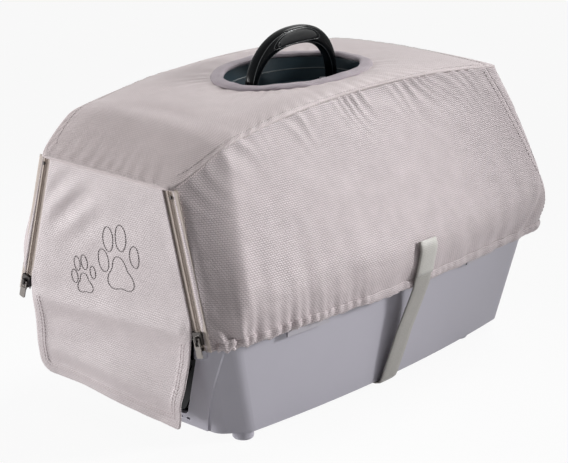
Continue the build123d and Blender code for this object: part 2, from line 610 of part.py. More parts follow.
# Door: frame and lattice, cranked arms to two barrels on the hinge pin, and a latch boss
with BuildPart() as door_leaf:
    leaf_plane = Plane.XZ.offset(LEAF_BACK)
    with BuildSketch(leaf_plane):
        with Locations((0, SEAM_Z)):
            with GridLocations(BAR_PITCH_X, 0, BAR_COUNT, 1):
                Rectangle(BAR_WIDTH, FAR)
            with GridLocations(0, BAR_PITCH_Z, 1, BAR_COUNT):
                Rectangle(FAR, BAR_WIDTH)
        add(doorway(-LEAF_GAP), mode=Mode.INTERSECT)
    extrude(amount=LEAF_THICK)
    with BuildSketch(leaf_plane):
        add(doorway(-LEAF_GAP))
        add(doorway(-LEAF_GAP - LEAF_FRAME), mode=Mode.SUBTRACT)
    extrude(amount=LEAF_THICK)
    with BuildSketch(leaf_plane):
        with Locations((LATCH_X, SEAM_Z)):
            Circle(LATCH_BOSS_RADIUS)
    extrude(amount=LEAF_THICK)
    with BuildSketch(leaf_plane):
        with Locations((LATCH_X, SEAM_Z)):
            Circle(LATCH_SHAFT_RADIUS + RUNNING_FIT)
    extrude(amount=LEAF_THICK, mode=Mode.SUBTRACT)
    leaf_edge = DOORWAY_HALF - LEAF_GAP
    for barrel_z in (HINGE_Z - HINGE_HALF + SIDE_PLAY, HINGE_Z + HINGE_HALF - SIDE_PLAY - HINGE_BARREL):
        with BuildSketch(Plane.XY.offset(barrel_z)):
            with BuildLine():
                Polyline((leaf_edge - LEAF_FRAME, -LEAF_FRONT), (leaf_edge - LEAF_FRAME, -LEAF_BACK),
                         (leaf_edge, -LEAF_BACK), (HINGE_X + HINGE_BARREL_RADIUS * 0.6, HINGE_Y + 3),
                         (HINGE_X - HINGE_BARREL_RADIUS * 0.6, HINGE_Y - 3), close=True)
            make_face()
            with Locations((HINGE_X, HINGE_Y)):
                Circle(HINGE_BARREL_RADIUS)
                Circle(HINGE_PIN_RADIUS + RUNNING_FIT, mode=Mode.SUBTRACT)
        extrude(amount=HINGE_BARREL)

with BuildPart() as door_hinge_pin:
    with Locations((HINGE_X, HINGE_Y, HINGE_Z)):
        Cylinder(HINGE_PIN_RADIUS, 2 * (HINGE_HALF + HINGE_PIN_SEAT - SIDE_PLAY))

# Turn latch, stored with its cam hanging, which leaves the door free
with BuildPart() as latch_knob:
    with BuildSketch(Plane.XZ.offset(LEAF_FRONT + LATCH_PLAY)):
        with Locations((LATCH_X, SEAM_Z)):
            Circle(LATCH_KNOB_RADIUS)
    extrude(amount=LATCH_KNOB_PLATE)
    with BuildSketch(Plane.XZ.offset(LEAF_FRONT + LATCH_PLAY + LATCH_KNOB_PLATE)):
        with Locations((LATCH_X, SEAM_Z)):
            Rectangle(LATCH_WING_WIDTH, 1.8 * LATCH_KNOB_RADIUS)
    extrude(amount=LATCH_WING)
    with BuildSketch(Plane.XZ.offset(LEAF_FRONT + LATCH_PLAY)):
        with Locations((LATCH_X, SEAM_Z)):
            Circle(LATCH_SHAFT_RADIUS)
    extrude(amount=-LEAF_THICK - 2 * LATCH_PLAY - LATCH_CAM_THICK)

with BuildPart() as latch_cam:
    with BuildSketch(Plane.XZ.offset(LEAF_BACK - LATCH_PLAY - LATCH_CAM_THICK)):
        with Locations((LATCH_X, SEAM_Z - LATCH_CAM_REACH / 2)):
            SlotCenterToCenter(LATCH_CAM_REACH, LATCH_CAM_WIDTH, rotation=90)
        with Locations((LATCH_X, SEAM_Z)):
            Circle(LATCH_BOSS_RADIUS / 2)
            Circle(LATCH_SHAFT_RADIUS, mode=Mode.SUBTRACT)
    extrude(amount=LATCH_CAM_THICK)

# Cover walls: everything outside the two zip channels, later split at the rear corners
with BuildPart() as cover_walls:
    add(hull(COVER, FABRIC))
    add(hull(COVER), mode=Mode.SUBTRACT)
    add(under_roof(COVER_GAP), mode=Mode.INTERSECT)
    lean_x = tan(radians(ZIP_LEAN))
    with BuildSketch(Plane.XZ):
        with BuildLine():
            bottom_x = ZIP_BOTTOM_X + CHANNEL_X + lean_x * HEM.z
            top_x = bottom_x - lean_x * FAR
            Polyline((-bottom_x, 0), (bottom_x, 0), (top_x, FAR), (-top_x, FAR), close=True)
        make_face()
    extrude(amount=FAR, mode=Mode.SUBTRACT)

with BuildPart() as rear_wedge:
    with BuildSketch():
        with BuildLine():
            wedge_y = REAR_SEAM_Y + FAR * tan(radians(REAR_SEAM_SLOPE))
            Polyline((0, REAR_SEAM_Y), (FAR, wedge_y), (-FAR, wedge_y), close=True)
        make_face()
    extrude(amount=FAR)

with BuildPart() as right_half:
    with Locations((0, 0, 0)):
        Box(FAR, 3 * FAR, 2 * FAR, align=(Align.MIN, Align.CENTER, Align.CENTER))

with BuildPart() as cover_rear_panel:
    add(cover_walls.part)
    add(rear_wedge.part, mode=Mode.INTERSECT)

with BuildPart() as cover_right_panel:
    add(cover_walls.part)
    add(rear_wedge.part, mode=Mode.SUBTRACT)
    add(right_half.part, mode=Mode.INTERSECT)

with BuildPart() as cover_left_panel:
    mirror(cover_right_panel.part, about=Plane.YZ)

# Top panel with its front facet, cut for the handle, and the binding round the cut
with BuildPart() as roof_fabric:
    add(hull(COVER, FABRIC))
    add(under_roof(COVER_GAP + FABRIC), mode=Mode.INTERSECT)
    add(under_roof(COVER_GAP), mode=Mode.SUBTRACT)

with BuildPart() as cover_top_panel:
    add(roof_fabric.part)
    add(opening(BINDING_WIDTH), mode=Mode.SUBTRACT)

with BuildPart() as handle_opening_binding:
    add(roof_fabric.part)
    add(opening(BINDING_WIDTH), mode=Mode.INTERSECT)
    add(opening(), mode=Mode.SUBTRACT)

# Gathered hem: an elastic band in a folded casing, from one front corner round to the other
with BuildPart() as hem_zone:
    with Locations((0, CASING_START - COVER_FRONT, HEM.z)):
        Box(2 * FAR, 2 * FAR, CASING_HEIGHT, align=(Align.CENTER, Align.MIN, Align.MIN))

with BuildPart() as elastic_zone:
    with Locations((0, CASING_START - COVER_FRONT, HEM.z + (CASING_HEIGHT - ELASTIC_HEIGHT) / 2)):
        Box(2 * FAR, 2 * FAR, ELASTIC_HEIGHT, align=(Align.CENTER, Align.MIN, Align.MIN))

with BuildPart() as hem_elastic:
    add(hull(COVER, FABRIC + ELASTIC_THICK))
    add(hull(COVER, FABRIC), mode=Mode.SUBTRACT)
    add(elastic_zone.part, mode=Mode.INTERSECT)

with BuildPart() as hem_casing:
    add(hull(COVER, FABRIC + CASING_WALL))
    add(hull(COVER, FABRIC), mode=Mode.SUBTRACT)
    add(hem_zone.part, mode=Mode.INTERSECT)
    add(hem_elastic.part, mode=Mode.SUBTRACT)

# Front flap, hanging from a round welt on its turning line
with BuildPart() as front_flap:
    with BuildSketch(Plane.XZ.offset(-FACE_Y + TAPE_THICK)) as flap_face:
        with BuildLine():
            edge = [(ZIP_TOP_X - CHANNEL_X, FLAP_TOP_Z), (ZIP_BOTTOM_X - CHANNEL_X, HEM.z),
                    (FLAP_BOTTOM_HALF, FLAP_BOTTOM_Z)]
            Polyline(*edge, *[(-x, z) for x, z in reversed(edge)], close=True)
        make_face()
        fillet(flap_face.vertices().group_by(Axis.Y)[0], FLAP_CORNER)
    extrude(amount=FABRIC)
    with Locations((0, FLAP_Y, FLAP_TOP_Z)):
        Cylinder(WELT_RADIUS, 2 * (ZIP_TOP_X - CHANNEL_X), rotation=(0, 90, 0))

# Right zip; the left one is its mirror image
flap_start = ZIP_END + SLIDER_LENGTH + SIDE_PLAY
flap_end = ZIP_END + SLIDER_TRAVEL - SIDE_PLAY
chain_end = ZIP_END + SLIDER_TRAVEL + SLIDER_LENGTH + STOP_LENGTH + SIDE_PLAY

with BuildPart() as zip_tape_side_right:
    add(zip_strip(CHAIN_GAP / 2, TAPE_WIDTH, 0, chain_end, 0, TAPE_THICK))

with BuildPart() as zip_tape_flap_right:
    add(zip_strip(-TAPE_WIDTH, -CHAIN_GAP / 2, flap_start, flap_end, 0, TAPE_THICK))

with BuildPart() as zip_coil_side_right:
    add(zip_coil(1, STOP_LENGTH + SIDE_PLAY, chain_end - STOP_LENGTH))

with BuildPart() as zip_coil_flap_right:
    add(zip_coil(-1, flap_start, flap_end))

with BuildPart() as right_stops:
    stop_out = CHAIN_GAP / 2 + COIL_WIDTH
    stop_front = TAPE_THICK + COIL_HEIGHT
    add(zip_strip(CHAIN_GAP / 2, stop_out, 0, STOP_LENGTH, TAPE_THICK, stop_front))
    add(zip_strip(CHAIN_GAP / 2, stop_out, chain_end - STOP_LENGTH, chain_end, TAPE_THICK, stop_front))

with BuildPart() as zip_stops:
    add(right_stops.part)
    mirror(right_stops.part, about=Plane.YZ)

with BuildPart() as zip_slider_right:
    slider_end = ZIP_END + SLIDER_LENGTH
    slider_back = -ZIP_CLEAR - SLIDER_PLATE
    plate_back = SLIDER_FACE - SLIDER_PLATE
    add(zip_strip(-SLIDER_HALF, SLIDER_HALF, ZIP_END, slider_end, slider_back, -ZIP_CLEAR))
    add(zip_strip(-SLIDER_HALF, SLIDER_HALF, ZIP_END, slider_end, plate_back, SLIDER_FACE))
    for rim_side in (-1, 1):
        rim = sorted((rim_side * SLIDER_HALF, rim_side * (SLIDER_HALF - SLIDER_RIM)))
        add(zip_strip(*rim, ZIP_END, slider_end, TAPE_THICK + ZIP_CLEAR, plate_back))
    add(zip_strip(-SLIDER_POST / 2, SLIDER_POST / 2, slider_end - SLIDER_POST_LENGTH, slider_end,
                  -ZIP_CLEAR, plate_back))
    fillet(zip_slider_right.edges().filter_by(Axis.Y).group_by(Axis.Z)[0], SLIDER_RIM)
    bridge_top = PULL_AXIS + PULL_ROD_RADIUS + PULL_ROD_ROOM
    bridge_start = ZIP_END + SLIDER_LENGTH / 2 - PULL_ROD_RADIUS - PULL_ROD_ROOM - BRIDGE_LEG
    bridge_end = ZIP_END + SLIDER_LENGTH - (bridge_start - ZIP_END)
    add(zip_strip(-BRIDGE_HALF, BRIDGE_HALF, bridge_start, bridge_end, SLIDER_FACE,
                  bridge_top + PULL_ARM))
    add(zip_strip(-BRIDGE_HALF, BRIDGE_HALF, bridge_start + BRIDGE_LEG, bridge_end - BRIDGE_LEG,
                  SLIDER_FACE, bridge_top), mode=Mode.SUBTRACT)

with BuildPart() as zip_pull_right:
    rod_along = ZIP_END + SLIDER_LENGTH / 2
    with BuildSketch(ZIP_PLANE.offset(PULL_AXIS - PULL_ARM / 2)) as pull_face:
        with Locations((0, rod_along - PULL_LENGTH / 2)):
            RectangleRounded(2 * PULL_HALF, PULL_LENGTH, PULL_ARM)
        with Locations((0, rod_along - PULL_EYE / 2)):
            Rectangle(2 * (PULL_HALF - PULL_ARM), PULL_EYE, mode=Mode.SUBTRACT)
    extrude(amount=PULL_ARM)
    pull_line = ZIP_PLANE.offset(PULL_AXIS).from_local_coords((0, rod_along, 0))
    with BuildSketch(Plane(origin=pull_line, z_dir=ZIP_ACROSS)):
        Circle(PULL_ROD_RADIUS)
    extrude(amount=PULL_HALF, both=True)

with BuildPart() as zip_tape_side_left:
    mirror(zip_tape_side_right.part, about=Plane.YZ)

with BuildPart() as zip_tape_flap_left:
    mirror(zip_tape_flap_right.part, about=Plane.YZ)

with BuildPart() as zip_coil_side_left:
    mirror(zip_coil_side_right.part, about=Plane.YZ)

with BuildPart() as zip_coil_flap_left:
    mirror(zip_coil_flap_right.part, about=Plane.YZ)

with BuildPart() as zip_slider_left:
    mirror(zip_slider_right.part, about=Plane.YZ)

with BuildPart() as zip_pull_left:
    mirror(zip_pull_right.part, about=Plane.YZ)

# Strap: a run up each side to a sewn tab on the cover, and a run under the floor
with BuildPart() as strap_right:
    add(strap_band(FLOOR.z + STRAP_WIDTH * tan(radians(STRAP_SKEW)) / 2, 0, STRAP_THICK))

with BuildPart() as strap_left:
    mirror(strap_right.part, about=Plane.YZ)

with BuildPart() as strap_tab_right:
    add(strap_band(BULGE.z + STRAP_RISE - TAB_HEIGHT, STRAP_THICK, STRAP_THICK + TAB_THICK))

with BuildPart() as strap_tab_left:
    mirror(strap_tab_right.part, about=Plane.YZ)

with BuildPart() as strap_under:
    with Locations((0, STRAP_BOTTOM_Y, FLOOR.z - STRAP_UNDER_GAP)):
        Box(2 * (FLOOR.half + STRAP_FOOT_OUT + STRAP_THICK), STRAP_WIDTH, STRAP_THICK,
            align=(Align.CENTER, Align.CENTER, Align.MAX))

os.makedirs("parts", exist_ok=True)
NODES = {
    "lower_shell": lower_shell,
    "upper_shell": upper_shell,
    "shell_clips": shell_clips,
    "carry_handle": carry_handle,
    "grip_pads": grip_pads,
    "handle_screws": handle_screws,
    "door_leaf": door_leaf,
    "door_hinge_pin": door_hinge_pin,
    "latch_knob": latch_knob,
    "latch_cam": latch_cam,
    "cover_top_panel": cover_top_panel,
    "cover_right_panel": cover_right_panel,
    "cover_left_panel": cover_left_panel,
    "cover_rear_panel": cover_rear_panel,
    "handle_opening_binding": handle_opening_binding,
    "hem_casing": hem_casing,
    "hem_elastic": hem_elastic,
    "front_flap": front_flap,
    "zip_tape_side_right": zip_tape_side_right,
    "zip_tape_side_left": zip_tape_side_left,
    "zip_tape_flap_right": zip_tape_flap_right,
    "zip_tape_flap_left": zip_tape_flap_left,
    "zip_coil_side_right": zip_coil_side_right,
    "zip_coil_side_left": zip_coil_side_left,
    "zip_coil_flap_right": zip_coil_flap_right,
    "zip_coil_flap_left": zip_coil_flap_left,
    "zip_stops": zip_stops,
    "zip_slider_right": zip_slider_right,
    "zip_slider_left": zip_slider_left,
    "zip_pull_right": zip_pull_right,
    "zip_pull_left": zip_pull_left,
    "strap_right": strap_right,
    "strap_left": strap_left,
    "strap_under": strap_under,
    "strap_tab_right": strap_tab_right,
    "strap_tab_left": strap_tab_left,
}
for node_name, node in NODES.items():
    node.part.label = node_name
    export_step(node.part, f"parts/{node_name}.step")
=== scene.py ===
import math

import bmesh
import bpy
import numpy as np
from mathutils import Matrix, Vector, noise


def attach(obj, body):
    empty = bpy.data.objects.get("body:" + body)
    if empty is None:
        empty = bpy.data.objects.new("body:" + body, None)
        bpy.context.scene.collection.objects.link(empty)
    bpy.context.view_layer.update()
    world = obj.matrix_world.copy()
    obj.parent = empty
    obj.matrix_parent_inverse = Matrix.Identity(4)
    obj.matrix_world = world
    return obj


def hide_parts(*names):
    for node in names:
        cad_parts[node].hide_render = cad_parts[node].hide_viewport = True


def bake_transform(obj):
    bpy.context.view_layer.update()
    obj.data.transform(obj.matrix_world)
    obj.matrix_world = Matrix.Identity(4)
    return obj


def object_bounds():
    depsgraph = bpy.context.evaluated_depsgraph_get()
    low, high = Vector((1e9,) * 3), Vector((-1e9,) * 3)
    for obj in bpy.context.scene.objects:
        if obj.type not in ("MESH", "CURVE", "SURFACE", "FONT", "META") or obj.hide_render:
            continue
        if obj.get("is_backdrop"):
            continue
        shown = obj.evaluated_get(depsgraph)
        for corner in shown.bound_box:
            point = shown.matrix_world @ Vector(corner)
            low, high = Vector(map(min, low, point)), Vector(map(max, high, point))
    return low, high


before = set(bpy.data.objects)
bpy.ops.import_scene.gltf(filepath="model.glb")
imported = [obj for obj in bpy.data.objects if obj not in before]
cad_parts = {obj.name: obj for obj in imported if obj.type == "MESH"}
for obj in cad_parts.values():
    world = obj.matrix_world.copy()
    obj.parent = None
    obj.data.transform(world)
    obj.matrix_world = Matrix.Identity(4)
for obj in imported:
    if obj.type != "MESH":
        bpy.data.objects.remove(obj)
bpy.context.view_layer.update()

# View and studio: the camera stands to the front right, a little above the box, at the
# photographed angle. Broad lamps light the front from the left, the side from the rear right and
# the roof from behind, so the corner that faces the camera stays in soft shade.
camera_down, camera_turn = 18.14, 41.52
shade_strength = 0.13
floor_reach, floor_grey, floor_glow_share = 9, 0.74, 0.93
scene = bpy.context.scene
scene.view_settings.view_transform = "Standard"
camera_data = bpy.data.cameras.new("view")
camera_data.lens = 109.88
camera_data.sensor_width = 36.0
camera_data.shift_x = 0.0195
camera_data.shift_y = 0.0008
camera_data.clip_end = 60.0
camera = bpy.data.objects.new("view", camera_data)
camera.location = (1.1362, -1.3093, 0.7034)
camera.rotation_euler = (math.radians(90 - camera_down), 0, math.radians(camera_turn))
scene.collection.objects.link(camera)
scene.camera = camera


def add_lamp(name, target, direction, distance, size, power, spread):
    """Rectangular lamp at a distance from its target and turned to it."""
    lamp_data = bpy.data.lights.new(name, "AREA")
    lamp_data.shape = "RECTANGLE"
    lamp_data.size, lamp_data.size_y = size
    lamp_data.energy = power
    lamp_data.spread = math.radians(spread)
    lamp = bpy.data.objects.new(name, lamp_data)
    away = Vector(direction).normalized()
    lamp.location = Vector(target) + away * distance
    lamp.rotation_euler = (-away).to_track_quat("-Z", "Y").to_euler()
    scene.collection.objects.link(lamp)


add_lamp("lamp_front_left", (0, -0.2, 0.27), (-0.80, -0.62, 0.06), 2.4, (1.3, 0.5), 6.0, 52)
add_lamp("lamp_side_right", (0.10, -0.27, 0.15), (0.62, 0.70, 0.34), 2.5, (0.45, 0.45), 1.22, 26)
add_lamp("lamp_roof_rear", (0, -0.16, 0.28), (-0.05, 0.72, 0.69), 2.2, (1.0, 0.8), 2.4, 40)


def new_material(name):
    material = bpy.data.materials.new(name)
    material.use_nodes = True
    tree = material.node_tree
    return material, tree, tree.nodes["Principled BSDF"]


def set_inputs(node, values):
    for name, value in values.items():
        node.inputs[name].default_value = value


def reckon(tree, operation, *values):
    """Math node on sockets or plain numbers; gives its output."""
    node = tree.nodes.new("ShaderNodeMath")
    node.operation = operation
    for socket, value in zip(node.inputs, values):
        if isinstance(value, (int, float)):
            socket.default_value = value
        else:
            tree.links.new(value, socket)
    return node.outputs[0]


def seen_directly(tree):
    """1 for rays that show the background itself: from the camera, a mirror or through glass."""
    path = tree.nodes.new("ShaderNodeLightPath").outputs
    first = reckon(tree, "MAXIMUM", path["Is Camera Ray"], path["Is Glossy Ray"])
    return reckon(tree, "MAXIMUM", first, path["Is Transmission Ray"])


world = bpy.data.worlds.new("studio")
scene.world = world
world.use_nodes = True
world_tree = world.node_tree
background = world_tree.nodes["Background"]
set_inputs(background, {"Color": (1, 1, 1, 1)})
strength = world_tree.nodes.new("ShaderNodeMapRange")
set_inputs(strength, {"To Min": shade_strength})
world_tree.links.new(seen_directly(world_tree), strength.inputs["Value"])
world_tree.links.new(strength.outputs[0], background.inputs["Strength"])

floor_mesh = bpy.data.meshes.new("floor")
floor_corners = [(x * floor_reach, y * floor_reach, 0) for x, y in ((-1, -1), (1, -1), (1, 1), (-1, 1))]
floor_mesh.from_pydata(floor_corners, [], [(0, 1, 2, 3)])
floor = bpy.data.objects.new("floor", floor_mesh)
scene.collection.objects.link(floor)
floor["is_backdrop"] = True
floor_paint, floor_tree, floor_shader = new_material("pale_floor")
set_inputs(floor_shader, {"Base Color": (floor_grey, floor_grey, floor_grey, 1), "Roughness": 0.9})
floor_glow = floor_tree.nodes.new("ShaderNodeEmission")
floor_mix = floor_tree.nodes.new("ShaderNodeMixShader")
glow_share = reckon(floor_tree, "MULTIPLY", seen_directly(floor_tree), floor_glow_share)
floor_tree.links.new(glow_share, floor_mix.inputs["Fac"])
floor_tree.links.new(floor_shader.outputs[0], floor_mix.inputs[1])
floor_tree.links.new(floor_glow.outputs[0], floor_mix.inputs[2])
floor_tree.links.new(floor_mix.outputs[0], floor_tree.nodes["Material Output"].inputs["Surface"])
floor_mesh.materials.append(floor_paint)

# Lower shell: a deep tray moulded in light lilac-grey plastic, with a satin texture, a raised
# surround round the doorway and four moulded feet. Its flange carries the upper shell.


def new_group(name, inputs, outputs):
    """Shader group with number inputs and outputs; gives it with its input and output nodes."""
    group = bpy.data.node_groups.new(name, "ShaderNodeTree")
    for socket_name, value in inputs.items():
        socket = group.interface.new_socket(socket_name, in_out="INPUT", socket_type="NodeSocketFloat")
        socket.default_value = value
    for socket_name in outputs:
        group.interface.new_socket(socket_name, in_out="OUTPUT", socket_type="NodeSocketFloat")
    return group, group.nodes.new("NodeGroupInput"), group.nodes.new("NodeGroupOutput")


moulded_grain, grain_in, grain_out = new_group(
    "moulded_grain", {"Grain Scale": 1500.0, "Flow Scale": 14.0}, ("Height", "Tone", "Dust"))
grain_place = moulded_grain.nodes.new("ShaderNodeTexCoord")
for output_name, input_name, detail in (("Height", "Grain Scale", 3.0), ("Tone", "Flow Scale", 4.0)):
    cloud = moulded_grain.nodes.new("ShaderNodeTexNoise")
    set_inputs(cloud, {"Detail": detail})
    moulded_grain.links.new(grain_place.outputs["Object"], cloud.inputs["Vector"])
    moulded_grain.links.new(grain_in.outputs[input_name], cloud.inputs["Scale"])
    moulded_grain.links.new(cloud.outputs["Fac"], grain_out.inputs[output_name])
grain_facing = moulded_grain.nodes.new("ShaderNodeNewGeometry")
grain_up = moulded_grain.nodes.new("ShaderNodeSeparateXYZ")
moulded_grain.links.new(grain_facing.outputs["Normal"], grain_up.inputs[0])
grain_level = reckon(moulded_grain, "MAXIMUM", grain_up.outputs["Z"], 0.0)
moulded_grain.links.new(reckon(moulded_grain, "POWER", grain_level, 4.0), grain_out.inputs["Dust"])


def textured(name, group, values, dark, light, depth):
    """Material with tone and relief from a shader group; gives it with what finishing it needs."""
    material, tree, shader = new_material(name)
    texture = tree.nodes.new("ShaderNodeGroup")
    texture.node_tree = group
    set_inputs(texture, values)
    mix = tree.nodes.new("ShaderNodeMix")
    mix.data_type = "RGBA"
    set_inputs(mix, {"A": (*dark, 1), "B": (*light, 1)})
    tree.links.new(texture.outputs["Tone"], mix.inputs["Factor"])
    tree.links.new(mix.outputs["Result"], shader.inputs["Base Color"])
    bump = tree.nodes.new("ShaderNodeBump")
    set_inputs(bump, {"Distance": depth})
    tree.links.new(texture.outputs["Height"], bump.inputs["Height"])
    tree.links.new(bump.outputs["Normal"], shader.inputs["Normal"])
    return material, tree, shader, texture.outputs


def moulded_plastic(name, dark, light, rough, grain_depth, shine=0.5):
    """Injection-moulded plastic: fine spark texture, slow flow marks in its tone and its gloss."""
    flow_haze, dust_haze = 0.16, 0.1
    material, tree, shader, grain = textured(name, moulded_grain, {}, dark, light, grain_depth)
    haze = reckon(tree, "MULTIPLY_ADD", grain["Tone"], flow_haze, rough - flow_haze / 2)
    haze = reckon(tree, "MULTIPLY_ADD", grain["Dust"], dust_haze, haze)
    tree.links.new(haze, shader.inputs["Roughness"])
    set_inputs(shader, {"Specular IOR Level": shine})
    return material


def dress(node, material):
    """Gives a CAD node's object its material."""
    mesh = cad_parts[node].data
    mesh.materials.clear()
    mesh.materials.append(material)


base_plastic = moulded_plastic("base_plastic", (0.450, 0.437, 0.494), (0.498, 0.479, 0.541), 0.46,
                               0.00005)
dress("lower_shell", base_plastic)

# Shell clips: four sprung hooks of the same plastic that hold the flanges together. The cover
# hides them, apart from the tails that reach out below the hem.
clip_plastic = moulded_plastic("clip_plastic", (0.44, 0.42, 0.46), (0.48, 0.46, 0.50), 0.42, 0.00005)
dress("shell_clips", clip_plastic)

# Upper shell: charcoal plastic with a cool cast, seen through the oval in the cover, where a
# moulded rib runs round the wall of the finger recess. The rib is drawn far paler than the
# shell plastic it is moulded in, as a painted highlight.
shell_plastic = moulded_plastic("shell_plastic", (0.008, 0.022, 0.032), (0.013, 0.032, 0.044), 0.42,
                                0.00006, 0.25)
dress("upper_shell", shell_plastic)


def new_piece(name, points, faces, material, body):
    """Smooth mesh object at the origin; one without a body is fixed by its own section."""
    mesh = bpy.data.meshes.new(name)
    mesh.from_pydata([tuple(map(float, p)) for p in points], [], faces)
    mesh.validate()
    mesh.polygons.foreach_set("use_smooth", [True] * len(mesh.polygons))
    mesh.materials.append(material)
    piece = bpy.data.objects.new(name, mesh)
    scene.collection.objects.link(piece)
    if body:
        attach(piece, body)
    return piece


def solid_piece(name, points, faces, material):
    """Moulded or stuffed piece on the box, its faces turned outward."""
    piece = new_piece(name, points, faces, material, "box")
    work = bmesh.new()
    work.from_mesh(piece.data)
    bmesh.ops.recalc_face_normals(work, faces=work.faces)
    work.to_mesh(piece.data)
    work.free()
    return piece


def tube_faces(rings, around, closed=False, start_cap=True):
    """Faces of a tube whose rings of points follow each other."""
    faces = []
    for i in range(rings if closed else rings - 1):
        a, b = i * around, (i + 1) % rings * around
        for j in range(around):
            k = (j + 1) % around
            faces.append((a + j, a + k, b + k, b + j))
    if not closed and start_cap:
        faces.append(tuple(reversed(range(around))))
    if not closed:
        faces.append(tuple((rings - 1) * around + j for j in range(around)))
    return faces


def ring_points(spot, radius, corners, first, second):
    """Points round a spot, in the plane of two directions."""
    turns = [math.tau * corner / corners for corner in range(corners)]
    return [spot + radius * (math.cos(turn) * first + math.sin(turn) * second) for turn in turns]


rib_height, rib_centre_y = 0.2945, 0.003
rib_half_x, rib_half_y = 0.0560, 0.0870
rib_radius, rib_rings, rib_corners = 0.0010, 160, 8
rib_points = []
for step in range(rib_rings):
    turn = math.tau * step / rib_rings
    out = Vector((math.cos(turn), math.sin(turn), 0))
    centre = Vector((rib_half_x * out.x, rib_centre_y + rib_half_y * out.y, rib_height))
    rib_points += ring_points(centre, rib_radius, rib_corners, out, Vector((0, 0, 1)))
# Painted highlight: the rib is the shell's own plastic, given a much paler colour than the shell.
painted_highlight_rib = moulded_plastic("painted_highlight_rib", (0.060, 0.078, 0.084), (0.08, 0.10, 0.105), 0.34, 0.00004)
solid_piece("recess_rib", rib_points, tube_faces(rib_rings, rib_corners, closed=True), painted_highlight_rib)

# Carry handle: a polished black arch, deep at the top and slim at its legs, that leans a little
# to the rear. A domed matt pad is let into each side, and its feet are screwed into the recess.
handle_base_z, handle_centre_y = 0.2865, 0.003
handle_outer = (0.067, 0.0680)
handle_inner = (0.0595, 0.0490)
handle_fullness, section_fullness = 2.35, 3.2
handle_lean = 0.003
leg_half_width, grip_swell = 0.0060, 0.0008
handle_rings, handle_around = 96, 24


def keep_sign(value, power):
    """Power of a number's size, with the number's own sign."""
    return math.copysign(abs(value) ** power, value)


def handle_edge(half, rise, turn):
    """Point on one edge of the handle seen from the side, as y and z."""
    along = -keep_sign(math.cos(turn), 2 / handle_fullness) * half
    height = abs(math.sin(turn)) ** (2 / handle_fullness) * rise
    return handle_centre_y + along + handle_lean * (height / rise) ** 2, handle_base_z + height


def handle_section(share):
    """Centre, direction across and depth of the handle at a share of its way."""
    turn = math.pi * share
    outer, inner = Vector(handle_edge(*handle_outer, turn)), Vector(handle_edge(*handle_inner, turn))
    return (outer + inner) / 2, (outer - inner).normalized(), (outer - inner).length


handle_points = []
for ring in range(handle_rings):
    share = ring / (handle_rings - 1)
    centre, across, depth = handle_section(share)
    half_width = leg_half_width + grip_swell * math.sin(math.pi * share) ** 2
    for corner in range(handle_around):
        roll = math.tau * corner / handle_around
        x = keep_sign(math.cos(roll), 2 / section_fullness) * half_width
        w = keep_sign(math.sin(roll), 2 / section_fullness) * depth / 2
        handle_points.append((x, centre.x + across.x * w, centre.y + across.y * w))
handle_gloss = moulded_plastic("handle_gloss", (0.002, 0.003, 0.004), (0.004, 0.005, 0.006), 0.16,
                               0.00001, 0.06)
handle_arch = solid_piece("handle_arch", handle_points, tube_faces(handle_rings, handle_around),
                          handle_gloss)


def shifted(faces, by):
    """Faces with every corner's number raised."""
    return [tuple(corner + by for corner in face) for face in faces]


foot_levels = ((0.2825, 0.018, 0.009), (0.2862, 0.018, 0.009), (0.2874, 0.0172, 0.0082),
               (0.2876, 0.0155, 0.0066))
foot_corners, foot_square = 32, 0.45
foot_points, foot_faces = [], []
for foot_y in (-0.0605, 0.0665):
    foot_faces += shifted(tube_faces(len(foot_levels), foot_corners), len(foot_points))
    for level, half_x, half_y in foot_levels:
        for corner in range(foot_corners):
            roll = math.tau * corner / foot_corners
            foot_points.append((keep_sign(math.cos(roll), foot_square) * half_x,
                                foot_y + keep_sign(math.sin(roll), foot_square) * half_y, level))
solid_piece("handle_feet", foot_points, foot_faces, handle_gloss)
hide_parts("carry_handle")

pad_middle, pad_reach, pad_depth = 0.49, 0.158, 0.345
pad_rings, pad_around = 9, 56
pad_sunk, pad_height, pad_dome = 0.0050, 0.0064, 0.0011
rim_share, rim_height, rim_dip, rim_beads = 1.06, 0.0066, 0.0005, 72
eye_share, eye_height, eye_radius, eye_beads = 0.80, 0.0074, 0.0022, 32
edge_rings, edge_reach, edge_height, edge_share = 90, (0.03, 0.97), 0.0052, 0.385
bead_radius, bead_corners = 0.00045, 6
sideways = Vector((1, 0, 0))


def pad_spot(side, reach, roll, height):
    """Point of a pad at a share of the way to its rim, raised off the middle of the handle."""
    centre, across, depth = handle_section(pad_middle + pad_reach * reach * math.cos(roll))
    w = pad_depth * depth * reach * math.sin(roll)
    return Vector((side * height, centre.x + across.x * w, centre.y + across.y * w))


